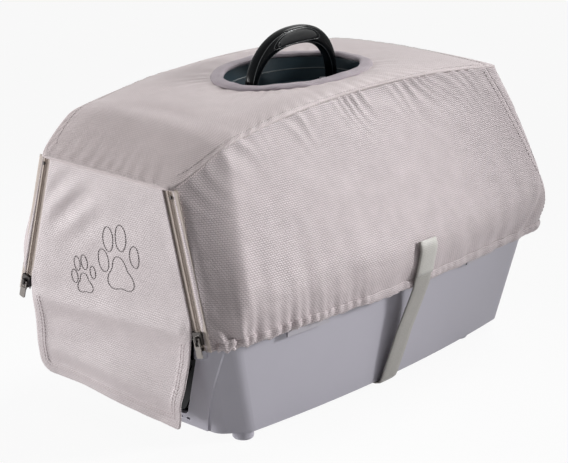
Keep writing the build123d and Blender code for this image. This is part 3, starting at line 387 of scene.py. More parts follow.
pad_points, pad_faces, rim_points, rim_faces = [], [], [], []
for side in (1, -1):
    pad_faces += shifted(tube_faces(pad_rings, pad_around, start_cap=False), len(pad_points))
    for ring in range(pad_rings):
        reach = 1 - ring / pad_rings
        height = pad_sunk if ring == 0 else pad_height + pad_dome * (1 - reach ** 3)
        for step in range(pad_around):
            pad_points.append(pad_spot(side, reach, math.tau * step / pad_around, height))
    for beads in (rim_beads, eye_beads):
        rim_faces += shifted(tube_faces(beads, bead_corners, closed=True), len(rim_points))
        for step in range(beads):
            roll = math.tau * step / beads
            out = Vector((0, math.cos(roll), math.sin(roll)))
            if beads == rim_beads:
                spot = pad_spot(side, rim_share, roll, rim_height - rim_dip * math.sin(roll) ** 2)
            else:
                spot = pad_spot(side, eye_share, math.pi, eye_height) + out * eye_radius
            rim_points += ring_points(spot, bead_radius, bead_corners, out, sideways)
    # Beads along both edges of each side of the handle, which with the rims carry painted highlight
    # lines.
    for edge in (1, -1):
        rim_faces += shifted(tube_faces(edge_rings, bead_corners), len(rim_points))
        for step in range(edge_rings):
            share = edge_reach[0] + (edge_reach[1] - edge_reach[0]) * step / (edge_rings - 1)
            centre, across, depth = handle_section(share)
            out = Vector((0, across.x, across.y))
            spot = Vector((side * edge_height, centre.x, centre.y)) + edge * edge_share * depth * out
            rim_points += ring_points(spot, bead_radius, bead_corners, out, sideways)
# Painted highlight: the rims, the screw ring and the edge beads are a paler, glossier plastic than the
# black handle they sit on.
painted_highlight_gloss = moulded_plastic("painted_highlight_gloss", (0.028, 0.032, 0.036), (0.040, 0.045, 0.050), 0.20, 0.00001, 0.6)
solid_piece("painted_highlight_beads", rim_points, rim_faces, painted_highlight_gloss)
grip_rubber = moulded_plastic("grip_rubber", (0.006, 0.007, 0.008), (0.011, 0.012, 0.013), 0.55,
                              0.00012, 0.3)
handle_pads = solid_piece("handle_pads", pad_points, pad_faces, grip_rubber)
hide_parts("grip_pads")


def bare_metal(name, dark, light, rough):
    """Plated or lacquered metal with a fine uneven surface."""
    haze, haze_room, relief = 0.25, 0.12, 0.00002
    material, tree, shader, grain = textured(
        name, moulded_grain, {"Grain Scale": 900.0, "Flow Scale": 160.0}, dark, light, relief)
    tree.links.new(reckon(tree, "MULTIPLY_ADD", grain["Height"], haze, rough - haze_room),
                   shader.inputs["Roughness"])
    set_inputs(shader, {"Metallic": 1.0})
    return material


zinc_steel = bare_metal("zinc_steel", (0.42, 0.42, 0.44), (0.55, 0.55, 0.56), 0.34)
dress("handle_screws", zinc_steel)
dress("door_hinge_pin", zinc_steel)

# Door: a dark moulded lattice leaf that swings on a steel pin, with a turn latch of the same
# plastic. It keeps its constructed shape, and the flap hides it when shut.
door_plastic = moulded_plastic("door_plastic", (0.010, 0.011, 0.014), (0.016, 0.017, 0.021), 0.40,
                               0.00005, 0.3)
for node in ("door_leaf", "latch_knob", "latch_cam"):
    dress(node, door_plastic)

# Cover walls: three panels of taupe polyester with a ribbed weave, cut from flat cloth, drawn
# over the shells and sewn to each other at the rear corners. They are shaped from the plan
# lines of the box, with the tension folds that the seams and the elastic leave in them.
wall_z = (0.112, 0.150, 0.322)
wall_plan = {
    "rear": (0.2575, 0.2605, 0.2110),
    "slant_half": (0.1385, 0.1515, 0.0895),
    "slant_y": (-0.2360, -0.2310, -0.2025),
    "half": (0.1575, 0.1678, 0.0970),
    "rear_half": (0.1450, 0.1555, 0.1000),
    "front_half": (0.1205, 0.1215, 0.0640),
}
cover_front_y = -0.2590
rear_bow, rear_corner_step = 0.006, 0.002
zip_edge_room, front_turn_room = 0.0048, 0.005
plan_step, front_steps, level_ease = 0.0012, 40, (-0.014, -0.005, 0.005, 0.014)
plan_levels, middle_level = (0.100, 0.330, 93), 20
front_ease, rear_ease, rear_ease_from, rear_ease_over = 3, 10, 0.05, 0.08
half_columns, wall_rows = 260, 64
edge_start_z, edge_rounds = 0.29, 12
hem_z = 0.112
zip_foot_x, zip_lean, zip_height = 0.121, 0.040, 0.1468
roof_peak_z, roof_peak_y = 0.3112, 0.009
roof_arch, roof_rear_arch, roof_crown = 1.20, 1.42, 2.00
facet_z, facet_y, facet_slope = 0.2632, -0.2515, math.tan(math.radians(31))
facet_softness = 0.0016


def zip_x(z):
    """Distance of a zip from the middle at a height."""
    return zip_foot_x - zip_lean * (z - hem_z) / zip_height


def roof_z(x, y):
    """Height of the cover's roof: an arched and crowned top that falls to a sloping facet in front."""
    arch = np.where(y > roof_peak_y, roof_rear_arch, roof_arch)
    top = roof_peak_z - x ** 2 / (2 * roof_crown) - (y - roof_peak_y) ** 2 / (2 * arch)
    front = facet_z + (y - facet_y) * facet_slope
    return -facet_softness * np.logaddexp(-top / facet_softness, -front / facet_softness)


def lengths_along(points):
    """Distance along a line from its start to each of its points."""
    return np.concatenate(([0], np.cumsum(np.linalg.norm(np.diff(points, axis=0), axis=1))))


def wall_line(z):
    """Right half of the wall in plan at one height, from the zip round to the middle of the rear."""
    sizes = {key: float(np.mean(np.interp([z + step for step in level_ease], wall_z, values)))
             for key, values in wall_plan.items()}
    start = (zip_x(z) + zip_edge_room, cover_front_y)
    turn = (max(sizes["front_half"], start[0]) + front_turn_room, cover_front_y)
    slant = (sizes["slant_half"], sizes["slant_y"])
    rear_corner = (sizes["rear_half"], sizes["rear"] - rear_corner_step)
    line = []
    for t in np.linspace(0, 1, front_steps)[:-1]:
        line.append([(1 - t) ** 2 * a + 2 * t * (1 - t) * b + t * t * c
                     for a, b, c in zip(start, turn, slant)])
    middle_y = (slant[1] + rear_corner[1]) / 2
    bow = np.polyfit((slant[1], middle_y, rear_corner[1]), (slant[0], sizes["half"], rear_corner[0]), 2)
    along = np.arange(slant[1], rear_corner[1], plan_step)
    line.extend(zip(np.polyval(bow, along), along))
    across = np.arange(rear_corner[0], 0, -plan_step)
    line.extend((x, sizes["rear"] + rear_bow * (1 - (x / rear_corner[0]) ** 2)) for x in across)
    line = np.array(line)
    eased = []
    for spread in (front_ease, rear_ease):
        before = 2 * line[0] - line[1:4 * spread + 1][::-1]
        after = line[-4 * spread:][::-1] * (-1, 1)
        padded = np.vstack((before, line, after))
        weights = np.exp(-0.5 * (np.arange(-4 * spread, 4 * spread + 1) / spread) ** 2)
        weights /= weights.sum()
        eased.append(np.column_stack([np.convolve(padded[:, i], weights, "valid") for i in (0, 1)]))
    rear_share = np.clip((line[:, 1:] - rear_ease_from) / rear_ease_over, 0, 1)
    line = eased[0] * (1 - rear_share) + eased[1] * rear_share
    line[-1] = (0, line[-1][1])
    length = lengths_along(line)
    at = np.linspace(0, length[-1], half_columns + 1)
    return np.column_stack([np.interp(at, length, line[:, i]) for i in (0, 1)])


level_z = np.linspace(*plan_levels)
right_lines = np.array([wall_line(z) for z in level_z])
left_lines = right_lines[:, -2::-1] * (-1, 1)
wall_lines = np.concatenate((right_lines, left_lines), axis=1)
wall_columns = wall_lines.shape[1]
wall_length = lengths_along(wall_lines[middle_level])[-1]
seam_column = int(np.argmax(wall_lines[middle_level, :half_columns].sum(axis=1)))
corner_s = wall_length * (seam_column / wall_columns)


def wall_at(column, z):
    """Plan point of the wall in one column at heights z."""
    return np.column_stack([np.interp(z, level_z, wall_lines[:, column, i]) for i in (0, 1)])


edge_z = np.full(wall_columns, edge_start_z)
for _ in range(edge_rounds):
    edge_xy = np.array([wall_at(column, edge_z[column:column + 1])[0] for column in range(wall_columns)])
    edge_z = 0.5 * edge_z + 0.5 * roof_z(edge_xy[:, 0], edge_xy[:, 1])

wall_points = np.zeros((wall_rows, wall_columns, 3))
for column in range(wall_columns):
    heights = np.linspace(hem_z, edge_z[column], wall_rows)
    wall_points[:, column, :2] = wall_at(column, heights)
    wall_points[:, column, 2] = heights


def cloth_noise(a, b, size, seed):
    """Smooth noise from -1 to 1 over a sheet's own coordinates."""
    flat = [noise.noise(Vector((p / size, q / size, seed))) for p, q in zip(a.ravel(), b.ravel())]
    return np.array(flat).reshape(a.shape)


def unevenness(a, b, layers):
    """Soft noise over a sheet, in layers of a height, a patch size and a seed."""
    return sum(size * cloth_noise(a, b, patch, seed) for size, patch, seed in layers)


def ripple(along, pitch, drift):
    """Wave along a sheet, shifted by a share of its pitch."""
    return np.sin(math.tau * (along / pitch + drift))


def hill(distance, width):
    """Rounded hill that is 1 at no distance."""
    return np.exp(-(distance / width) ** 2)


def grid_normals(points):
    across = np.cross(np.gradient(points, axis=1), np.gradient(points, axis=0))
    return across / np.maximum(np.linalg.norm(across, axis=2, keepdims=True), 1e-12)


# Gathers of the elastic and slow pulls rise from the hem, puckers hang from the seam, and a soft
# unevenness lies over all of the cloth.
gather_pitch, gather_drift, gather_patch = 0.0125, 0.55, 0.05
gather_depth, gather_front_depth, gather_fade, front_fade = 0.0004, 0.0042, 0.012, 0.09
uneven_patch, uneven_seed = 0.03, 21.5
pull_pitch, pull_drift, pull_size, pull_fade = 0.034, 0.5, 0.0008, 0.045
pucker_pitch, pucker_drift, pucker_slant, pucker_fade = 0.019, 1.3, 0.8, 0.020
pucker_depth, pucker_patch_depth, pucker_rear_depth, pucker_rear_s = 0.0002, 0.0024, 0.0011, 0.40
wall_s = np.broadcast_to(np.linspace(0, wall_length, wall_columns), (wall_rows, wall_columns))
wall_back = wall_length - wall_s
to_front = np.minimum(wall_s, wall_back)
wall_h = wall_points[:, :, 2] - hem_z
below_seam = edge_z[None, :] - wall_points[:, :, 2]
near_front = np.exp(-wall_s / front_fade) + np.exp(-wall_back / front_fade)
wall_uneven = cloth_noise(wall_s, 0 * wall_s, uneven_patch, uneven_seed)
gather_size = gather_depth + gather_front_depth * near_front
gather_size *= np.maximum(0.55 * near_front, 0.65 + 0.9 * wall_uneven)
gather = ripple(wall_s, gather_pitch, gather_drift * cloth_noise(wall_s, wall_h, gather_patch, 1.5))
wall_push = gather_size * np.exp(-wall_h / (gather_fade * (1 + near_front))) * gather
pull = ripple(wall_s, pull_pitch, pull_drift * cloth_noise(wall_s, wall_h, 0.09, 2.5))
wall_push += pull_size * np.exp(-wall_h / pull_fade) * pull
pucker_at = (wall_s - pucker_slant * below_seam) / pucker_pitch
pucker_at += pucker_drift * cloth_noise(wall_s, wall_h, 0.05, 3.5)
pucker_patches = np.maximum(0, cloth_noise(wall_s, 0 * wall_s, 0.06, 4.5))
pucker_size = pucker_depth + pucker_patch_depth * pucker_patches
pucker_size += pucker_rear_depth * hill(to_front - pucker_rear_s, 0.085)
pucker_size *= np.exp(-below_seam / pucker_fade) * np.minimum(1, below_seam / 0.004)
wall_push += pucker_size * (1 - 2 * np.abs(np.sin(math.pi * pucker_at)))
wall_layers = ((0.0022, 0.115, 5.5), (0.0006, 0.035, 6.5))
wall_push += unevenness(wall_s, wall_h, wall_layers) * np.minimum(1, below_seam / 0.03)

# The walls belly out between hem and seam, most behind the rear corners. A crease crosses each
# rear corner, and four slanting folds stand beside the foot of each zip.
belly_size, belly_corner, belly_rear = 0.0028, 0.0004, 0.0030
crease_size, crease_h, crease_tilt = 0.0028, 0.035, 0.9
fold_width, fold_height = 0.0060, 0.026
edge_lift, edge_width, edge_settle, seam_settle = 0.0004, 0.004, 0.012, 0.003
belly = np.sin(math.pi * np.clip(wall_h / (wall_h + below_seam), 0, 1)) ** 1.2
rearward = hill(wall_s - corner_s, 0.085) + hill(wall_back - corner_s, 0.085)
behind = np.clip((to_front - corner_s) / 0.05, 0, 1)
wall_push += belly * (belly_size + belly_corner * rearward + belly_rear * behind)
for centre_s, sign in ((corner_s - 0.035, 1), (wall_length - corner_s + 0.03, -1)):
    lean = (wall_s - centre_s) * sign - crease_tilt * (wall_h - crease_h)
    crease = hill(lean, 0.007) - 0.8 * hill(lean - 0.014, 0.008)
    wall_push += crease_size * crease * hill(wall_h - crease_h, 0.026)
for from_front in (wall_s, wall_back):
    for start, tilt, size in ((0.025, 0.75, 0.0044), (0.0135, 0.60, -0.0036), (0.043, 0.45, 0.0022),
                              (0.0345, 0.60, -0.0018)):
        fold_at = from_front - start + tilt * wall_h
        wall_push += size * hill(fold_at, fold_width) * np.exp(-(wall_h / fold_height) ** 1.5)
edge_fold = hill(wall_s, edge_width) + hill(wall_back, edge_width)
settle = np.clip(wall_s / edge_settle, 0, 1) * np.clip(wall_back / edge_settle, 0, 1)
seam_hold = 0.25 + 0.75 * np.clip(below_seam / seam_settle, 0, 1)
wall_push = wall_push * settle * seam_hold + edge_lift * edge_fold
wall_points = wall_points + grid_normals(wall_points) * wall_push[:, :, None]

woven_cloth, weave_in, weave_out = new_group(
    "woven_cloth", {"Dash Length": 0.0030, "Row Height": 0.0017, "Shift": 0.5}, ("Height", "Tone"))
cloth_uv = woven_cloth.nodes.new("ShaderNodeUVMap")
cloth_uv.uv_map = "cloth"
cloth_axes = woven_cloth.nodes.new("ShaderNodeSeparateXYZ")
woven_cloth.links.new(cloth_uv.outputs[0], cloth_axes.inputs[0])


def weave(operation, *values):
    return reckon(woven_cloth, operation, *values)


def arch_of(place, square):
    """0 at a cell's edges and 1 in its middle, flatter the squarer it is."""
    centred = weave("SUBTRACT", weave("FRACT", place), 0.5)
    doubled = weave("MULTIPLY", weave("ABSOLUTE", centred), 2.0)
    return weave("SUBTRACT", 1.0, weave("POWER", doubled, square))


weave_row = weave("DIVIDE", cloth_axes.outputs["Y"], weave_in.outputs["Row Height"])
weave_along = weave("DIVIDE", cloth_axes.outputs["X"], weave_in.outputs["Dash Length"])
weave_dash = weave("MULTIPLY_ADD", weave("FLOOR", weave_row), weave_in.outputs["Shift"], weave_along)
weave_height = weave("MULTIPLY", arch_of(weave_row, 2.0), arch_of(weave_dash, 6.0))
woven_cloth.links.new(weave_height, weave_out.inputs["Height"])
cloth_cloud = woven_cloth.nodes.new("ShaderNodeTexNoise")
set_inputs(cloth_cloud, {"Scale": 55.0, "Detail": 6.0, "Roughness": 0.62})
woven_cloth.links.new(cloth_uv.outputs[0], cloth_cloud.inputs["Vector"])
weave_share = 0.55
weave_cloud = weave("MULTIPLY", cloth_cloud.outputs["Fac"], 1 - weave_share)
weave_tone = weave("MULTIPLY_ADD", weave_height, weave_share, weave_cloud)
woven_cloth.links.new(weave_tone, weave_out.inputs["Tone"])


def cloth(name, dark, light, dash, row, shift=0.5, rough=0.48, depth=0.00025):
    """Woven cloth: dashes in rows for a height and a tone, with a soft sheen."""
    tone_gloss, gloss_room = 0.15, 0.07
    material, tree, shader, weaving = textured(
        name, woven_cloth, {"Dash Length": dash, "Row Height": row, "Shift": shift}, dark, light, depth)
    tree.links.new(reckon(tree, "MULTIPLY_ADD", weaving["Tone"], -tone_gloss, rough + gloss_room),
                   shader.inputs["Roughness"])
    set_inputs(shader, {"Sheen Weight": 0.12, "Sheen Roughness": 0.45})
    return material


def sheet_piece(name, points, coordinates, material, body, thickness=0.0012, closed=False):
    """Sheet from a grid of points, thickened inwards, with its cloth coordinates in metres."""
    rows, columns = points.shape[:2]
    faces = []
    for r in range(rows - 1):
        low, high = r * columns, (r + 1) * columns
        for c in range(columns if closed else columns - 1):
            d = (c + 1) % columns
            faces.append((low + c, low + d, high + d, high + c))
    piece = new_piece(name, points.reshape(-1, 3), faces, material, body)
    layer = piece.data.uv_layers.new(name="cloth")
    corners = np.zeros(len(piece.data.loops), dtype=np.int32)
    piece.data.loops.foreach_get("vertex_index", corners)
    layer.data.foreach_set("uv", coordinates.reshape(-1, 2)[corners].astype(np.float32).ravel())
    skin = piece.modifiers.new("thickness", "SOLIDIFY")
    skin.thickness = thickness
    skin.offset = -1.0
    return piece


wall_cloth = cloth("wall_cloth", (0.37, 0.318, 0.327), (0.80, 0.701, 0.719), 0.0033, 0.0019, 0.37,
                   depth=0.0003)
wall_uv = np.dstack((wall_s, wall_h))
wall_spans = {
    "cover_right": (0, seam_column + 1, "cover_right_panel"),
    "cover_rear": (seam_column, wall_columns - seam_column, "cover_rear_panel"),
    "cover_left": (wall_columns - seam_column - 1, wall_columns, "cover_left_panel"),
}
for name, (first, last, node) in wall_spans.items():
    panel_points = wall_points[:, first:last]
    panel = sheet_piece(name, panel_points, wall_uv[:, first:last], wall_cloth, "box")
    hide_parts(node)

# Seam thread: every row of stitches on the cover and the strap grows from one tree that sets a
# short raised thread at even steps along a line. The first rows run down the rear corners.


def new_thread_tree():
    tree = bpy.data.node_groups.new("stitch_row", "GeometryNodeTree")
    face = tree.interface
    face.new_socket("Geometry", in_out="INPUT", socket_type="NodeSocketGeometry")
    for socket_name, value in (("Pitch", 0.004), ("Thread Length", 0.003), ("Thread Width", 0.0006),
                               ("Cross", 0.0)):
        socket = face.new_socket(socket_name, in_out="INPUT", socket_type="NodeSocketFloat")
        socket.default_value = value
    face.new_socket("Material", in_out="INPUT", socket_type="NodeSocketMaterial")
    face.new_socket("Geometry", in_out="OUTPUT", socket_type="NodeSocketGeometry")
    kinds = {"in": "NodeGroupInput", "out": "NodeGroupOutput", "line": "GeometryNodeMeshToCurve",
             "step": "GeometryNodeResampleCurve", "set": "GeometryNodeInstanceOnPoints",
             "bead": "GeometryNodeMeshUVSphere", "along": "GeometryNodeInputTangent",
             "turn": "FunctionNodeAlignRotationToVector", "size": "ShaderNodeCombineXYZ",
             "slant": "FunctionNodeRotateRotation", "angle": "FunctionNodeEulerToRotation",
             "euler": "ShaderNodeCombineXYZ", "real": "GeometryNodeRealizeInstances",
             "paint": "GeometryNodeSetMaterial", "shade": "GeometryNodeSetShadeSmooth"}
    made = {key: tree.nodes.new(kind) for key, kind in kinds.items()}
    made["step"].mode = "LENGTH"
    set_inputs(made["bead"], {"Segments": 8, "Rings": 5, "Radius": 0.5})
    made["turn"].axis = "X"
    made["slant"].rotation_space = "LOCAL"
    for source, output, target, entry in (
            ("in", "Geometry", "line", "Mesh"), ("line", "Curve", "step", "Curve"),
            ("in", "Pitch", "step", "Length"), ("step", "Curve", "set", "Points"),
            ("bead", "Mesh", "set", "Instance"), ("along", "Tangent", "turn", "Vector"),
            ("turn", "Rotation", "slant", "Rotation"), ("in", "Cross", "euler", "Z"),
            ("euler", 0, "angle", "Euler"), ("angle", "Rotation", "slant", "Rotate By"),
            ("slant", "Rotation", "set", "Rotation"), ("in", "Thread Length", "size", "X"),
            ("in", "Thread Width", "size", "Y"), ("in", "Thread Width", "size", "Z"),
            ("size", 0, "set", "Scale"), ("set", "Instances", "real", "Geometry"),
            ("real", "Geometry", "shade", 0), ("shade", 0, "paint", "Geometry"),
            ("in", "Material", "paint", "Material"), ("paint", "Geometry", "out", "Geometry")):
        tree.links.new(made[source].outputs[output], made[target].inputs[entry])
    return tree


thread_tree = new_thread_tree()


def grow_rows(name, lines, pitch, length, width, material, body, cross=0.0):
    """Sets threads along polylines and keeps them as one plain mesh on a body."""
    points, edges = [], []
    for line in lines:
        edges += [(len(points) + i, len(points) + i + 1) for i in range(len(line) - 1)]
        points += [tuple(map(float, p)) for p in line]
    guide = bpy.data.meshes.new(name + "_guide")
    guide.from_pydata(points, edges, [])
    piece = bpy.data.objects.new(name, guide)
    scene.collection.objects.link(piece)
    grower = piece.modifiers.new("rows", "NODES")
    grower.node_group = thread_tree
    values = {"Pitch": pitch, "Thread Length": length, "Thread Width": width, "Cross": cross,
              "Material": material}
    for socket in thread_tree.interface.items_tree:
        if socket.in_out == "INPUT" and socket.name in values:
            grower[socket.identifier] = values[socket.name]
    bpy.context.view_layer.update()
    grown = bpy.data.meshes.new_from_object(piece.evaluated_get(bpy.context.evaluated_depsgraph_get()))
    piece.modifiers.clear()
    piece.data = grown
    if body:
        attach(piece, body)
    return piece


def plain_paint(name, colour, rough=0.55):
    material, _, shader = new_material(name)
    set_inputs(shader, {"Base Color": (*colour, 1), "Roughness": rough})
    return material


seam_thread = plain_paint("seam_thread", (0.56, 0.50, 0.505))
thread_lift = 0.0002
wall_normals = grid_normals(wall_points)
corner_rows = [wall_points[3:-2, column] + wall_normals[3:-2, column] * thread_lift
               for column in (seam_column - 3, wall_columns - seam_column + 2)]
grow_rows("corner_stitches", corner_rows, 0.0042, 0.0032, 0.0007, seam_thread, "box")

# Cover top: one panel of the same cloth from the oval hole out to the seam with the walls, drawn
# over the arched roof and the sloping facet in front. Its front edge hangs over the flap as a
# welt. It is shaped over the roof line, with puckers at the seam and round the hole.
hole_centre_y = 0.0045
hole_half_x, hole_half_y, hole_band = 0.056, 0.086, 0.010
top_rows, front_columns = 54, 130
top_bulge = 0.0035
top_layers = ((0.0022, 0.10, 13.5), (0.0006, 0.036, 14.5))
seam_pucker, seam_pucker_pitch, seam_pucker_slant, seam_pucker_fade = 0.0005, 0.0165, 0.4, 0.012
hole_pucker, hole_pucker_pitch, hole_pucker_fade = 0.0006, 0.047, 0.022
facet_fold_size, facet_fold_y, facet_fold_lean, facet_fold_width = 0.0012, -0.178, 0.12, 0.010
lip_reach, lip_drop, lip_turn = 0.0007, 0.0022, 0.0004
welt_y, welt_top_z = -0.2618, 0.2588
front_half = zip_x(welt_top_z) + 0.0035
front_x = np.linspace(-front_half, front_half, front_columns + 2)[1:-1]
front_z = roof_z(front_x, np.full(front_columns, cover_front_y)) + 0.0006
front_edge = np.column_stack((front_x, np.full(front_columns, welt_y), front_z))
top_outer = np.vstack((wall_points[-1], front_edge))
ray = top_outer[:, :2] - (0, hole_centre_y)
reach = 1 / np.hypot(ray[:, 0] / (hole_half_x + hole_band), ray[:, 1] / (hole_half_y + hole_band))
top_inner = ray * reach[:, None] + (0, hole_centre_y)
top_t = np.linspace(0, 1, top_rows)[:, None]
top_xy = top_inner[None] + (top_outer[None, :, :2] - top_inner[None]) * top_t[:, :, None]
top_x, top_y = top_xy[:, :, 0], top_xy[:, :, 1]
top_z = roof_z(top_x, np.maximum(top_y, cover_front_y))
edge_gap = top_outer[:, 2] - top_z[-1]
top_z = top_z + edge_gap[None] * top_t ** 6
to_edge = np.linalg.norm(top_outer[None, :, :2] - top_xy, axis=2)
to_hole = np.linalg.norm(top_inner[None] - top_xy, axis=2)
top_s = np.broadcast_to(lengths_along(top_outer), top_x.shape)
seam_drift = 0.7 * cloth_noise(top_x, top_y, 0.06, 11.5)
seam_ripple = ripple(top_s + seam_pucker_slant * to_edge, seam_pucker_pitch, seam_drift)
top_push = seam_pucker * np.exp(-to_edge / seam_pucker_fade) * seam_ripple
hole_drift = 0.6 * cloth_noise(top_x, top_y, 0.08, 12.5)
hole_ripple = ripple(top_s, hole_pucker_pitch, hole_drift)
top_push += hole_pucker * np.exp(-to_hole / hole_pucker_fade) * hole_ripple
top_push += unevenness(top_x, top_y, top_layers) + top_bulge * np.sin(math.pi * top_t)
facet_fold = hill(top_y - facet_fold_y + facet_fold_lean * np.abs(top_x), facet_fold_width)
top_push -= facet_fold_size * facet_fold * np.cos(top_x / 0.035)
held = np.clip(to_edge / 0.006, 0, 1) * np.clip(0.3 + to_hole / 0.01, 0, 1)
top_points = np.dstack((top_x, top_y, top_z + top_push * held))
outward = top_points[-1, :, :2] - top_points[-3, :, :2]
outward /= np.maximum(np.linalg.norm(outward, axis=1, keepdims=True), 1e-9)
top_points[-1, :, :2] += outward * lip_reach
lip = np.column_stack((top_points[-1, :, :2] + outward * lip_turn, top_points[-1, :, 2] - lip_drop))
top_points = np.concatenate((top_points, lip[None]), axis=0)
top_cloth = cloth("top_cloth", (0.46, 0.393, 0.396), (0.74, 0.642, 0.645), 0.0024, 0.0018)
cover_top = sheet_piece("cover_top", top_points[:, ::-1], top_points[:, ::-1, :2], top_cloth, "box",
                        closed=True)
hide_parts("cover_top_panel")

welt_radius, welt_squash, welt_drop, welt_corners = 0.0017, 1.15, 0.0008, 10
welt_line = np.linspace(-front_half - 0.001, front_half + 0.001, 120)
welt_points = []
for x in welt_line.tolist():
    end = 1 - abs(x) / (front_half + 0.0011)
    radius = welt_radius * min(1, 0.25 + end / 0.06)
    spot = Vector((x, welt_y + 0.0004, float(roof_z(x, cover_front_y)) - welt_drop))
    welt_points += ring_points(spot, radius, welt_corners, Vector((0, 1, 0)), Vector((0, 0, welt_squash)))
flap_welt = solid_piece("flap_welt", welt_points, tube_faces(len(welt_line), welt_corners), top_cloth)
welt_layer = flap_welt.data.uv_layers.new(name="cloth")
for loop in flap_welt.data.loops:
    spot = flap_welt.data.vertices[loop.vertex_index].co
    welt_layer.data[loop.index].uv = (spot.x, spot.y + spot.z)

seam_line = top_points[-6, :wall_columns] + (0, 0, thread_lift)
grow_rows("top_seam_stitches", [seam_line], 0.0042, 0.0033, 0.0006, seam_thread, "box")

# Binding: a mauve band folded over the edge of the hole, one leg below the cover and one on top,
# and sewn down along its outer edge.
band_profile = np.array(((0.0115, -0.0034), (0.0080, -0.0034), (0.0030, -0.0034), (0.0009, -0.0029),
                         (0.0000, -0.0016), (0.0002, -0.0003), (0.0010, 0.0004), (0.0030, 0.0008),
                         (0.0070, 0.0008), (0.0100, 0.0004), (0.0116, -0.0004), (0.0126, -0.0018)))
band_columns, band_lift, band_thick, band_length = 220, 0.0012, 0.0008, 0.465
band_radius = 0.073
stitch_out, stitch_lift = 0.0090, 0.0018


def oval_line(turn, out, lift):
    """Line round the hole at a distance from its edge, lifted off the roof and slightly wavy."""
    x = (hole_half_x + out) * np.cos(turn)
    y = hole_centre_y + (hole_half_y + out) * np.sin(turn)
    wave = 0.0005 * np.sin(7 * turn + 0.8) + 0.0002 * np.sin(19 * turn)
    return np.column_stack((x, y, roof_z(x, y) + lift + wave))


band_turn = np.linspace(0, math.tau, band_columns, endpoint=False)
band_points = np.array([oval_line(band_turn, out, lift + band_lift) for out, lift in band_profile])
band_across = lengths_along(band_profile)
band_uv = np.dstack(np.broadcast_arrays(band_turn[None] * band_radius, band_across[:, None]))
band_cloth = cloth("band_cloth", (0.32, 0.272, 0.304), (0.43, 0.372, 0.408), 0.0013, 0.0013, rough=0.7)
binding = sheet_piece("binding", band_points, band_uv, band_cloth, "box", band_thick,
                      closed=True)
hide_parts("handle_opening_binding")
pale_thread = plain_paint("pale_thread", (0.50, 0.45, 0.46))
stitch_line = oval_line(np.linspace(0, math.tau, 240), stitch_out, stitch_lift)
grow_rows("binding_stitches", [stitch_line], 0.0040, 0.0031, 0.0008, pale_thread, "box")

# Hem: the wall's lower edge is folded round a hidden elastic that draws it in below the flange, so
# it gathers into small scallops, deepest near the front. Cloth and elastic are shown as one casing.
hem_profile = np.array(((-0.0006, 0.0110), (0.0009, 0.0092), (0.0017, 0.0064), (0.0017, 0.0034),
                        (0.0009, 0.0008), (-0.0008, 0.0000), (-0.0024, 0.0012), (-0.0030, 0.0045),
                        (-0.0030, 0.0085)))
hem_columns, hem_inset, hem_row, hem_thick = 900, 5, 2, 0.0008
hem_front_fade, hem_lap, hem_drop, hem_reach = 0.10, 0.0125, 0.0005, 0.0002
hem_along = np.linspace(hem_inset, wall_columns - hem_inset - 1, hem_columns)
hem_x, hem_y = [np.interp(hem_along, np.arange(wall_columns), wall_points[hem_row, :, i]) for i in (0, 1)]
hem_out = np.column_stack((np.gradient(hem_y), -np.gradient(hem_x)))
hem_out /= np.linalg.norm(hem_out, axis=1, keepdims=True)
hem_s = hem_along / wall_columns * wall_length
hem_front = np.exp(-hem_s / hem_front_fade) + np.exp(-(wall_length - hem_s) / hem_front_fade)
hem_drift = gather_drift * cloth_noise(hem_s, 0 * hem_s, gather_patch, 1.5)
hem_gather = ripple(hem_s, gather_pitch, hem_drift)
hem_uneven = cloth_noise(hem_s, 0 * hem_s, uneven_patch, uneven_seed)
hem_from_front = np.minimum(hem_s, wall_length - hem_s)
hem_sag = 0.0014 * hill(hem_from_front - 0.030, 0.008) - 0.0020 * hill(hem_from_front - 0.012, 0.007)
hem_depth = (0.14 + 0.75 * hem_front) * np.maximum(0.5 * hem_front, 0.6 + 0.8 * hem_uneven)
hem_swell = 1 + hem_depth * hem_gather + 0.4 * hem_uneven
hem_wave = (0.0003 + 0.0024 * hem_front) * hem_gather + 0.0012 * hem_uneven + hem_sag
hem_points = np.zeros((len(hem_profile), hem_columns, 3))
for row, (out, lift) in enumerate(hem_profile):
    offset = out * hem_swell + hem_reach
    height = hem_z - hem_drop + lift + (1 - lift / hem_lap) * hem_wave
    hem_points[row] = np.column_stack((hem_x + hem_out[:, 0] * offset, hem_y + hem_out[:, 1] * offset,
                                       height))
hem_across = lengths_along(hem_profile)
hem_uv = np.dstack(np.broadcast_arrays(hem_s[None], hem_across[:, None]))
hem_cloth = cloth("hem_cloth", (0.40, 0.341, 0.352), (0.72, 0.632, 0.648), 0.0033, 0.0019, 0.37,
                  depth=0.0003)
hem = sheet_piece("gathered_hem", hem_points[::-1], hem_uv[::-1], hem_cloth, "box",
                  hem_thick)
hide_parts("hem_casing")
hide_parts("hem_elastic")

# Front flap: a single sheet that zips to the walls, hangs free below the hem and folds in soft
# waves. Its free edge is turned up twice and sewn with two rows; two paw outlines are stitched on.
flap_top, flap_low, flap_y = 0.2588, 0.0290, -0.2606
flap_corners = (0.018, 0.0025)
flap_rows, flap_columns = 150, 104
flap_folds = ((0.118, 0.0034, 0.06, 0.010), (0.090, -0.0012, 0.03, 0.013), (0.058, 0.0030, -0.04, 0.011),
              (0.187, 0.0012, -0.10, 0.012))
free_low_half, free_high_half, free_softness = 0.0955, 0.1085, 0.0012
zip_edge_gap = 0.0066
turn_up, turn_up_step, turn_up_softness = 0.0128, 0.0007, 0.0005
right_drop, left_rise, free_swing, corner_z, corner_span = 0.0045, 0.0050, 0.0045, 0.085, 0.056
flap_layers = ((0.0018, 0.095, 31.5), (0.0006, 0.034, 32.5))
crumple_size, crumple_pitch, crumple_x, crumple_z = 0.0017, 0.027, -0.055, 0.216
hang_size, hang_pitch, hang_shift, hang_fade = 0.0016, 0.135, 0.6, 0.035
hold_width, free_from, free_over = 0.012, 0.125, 0.02


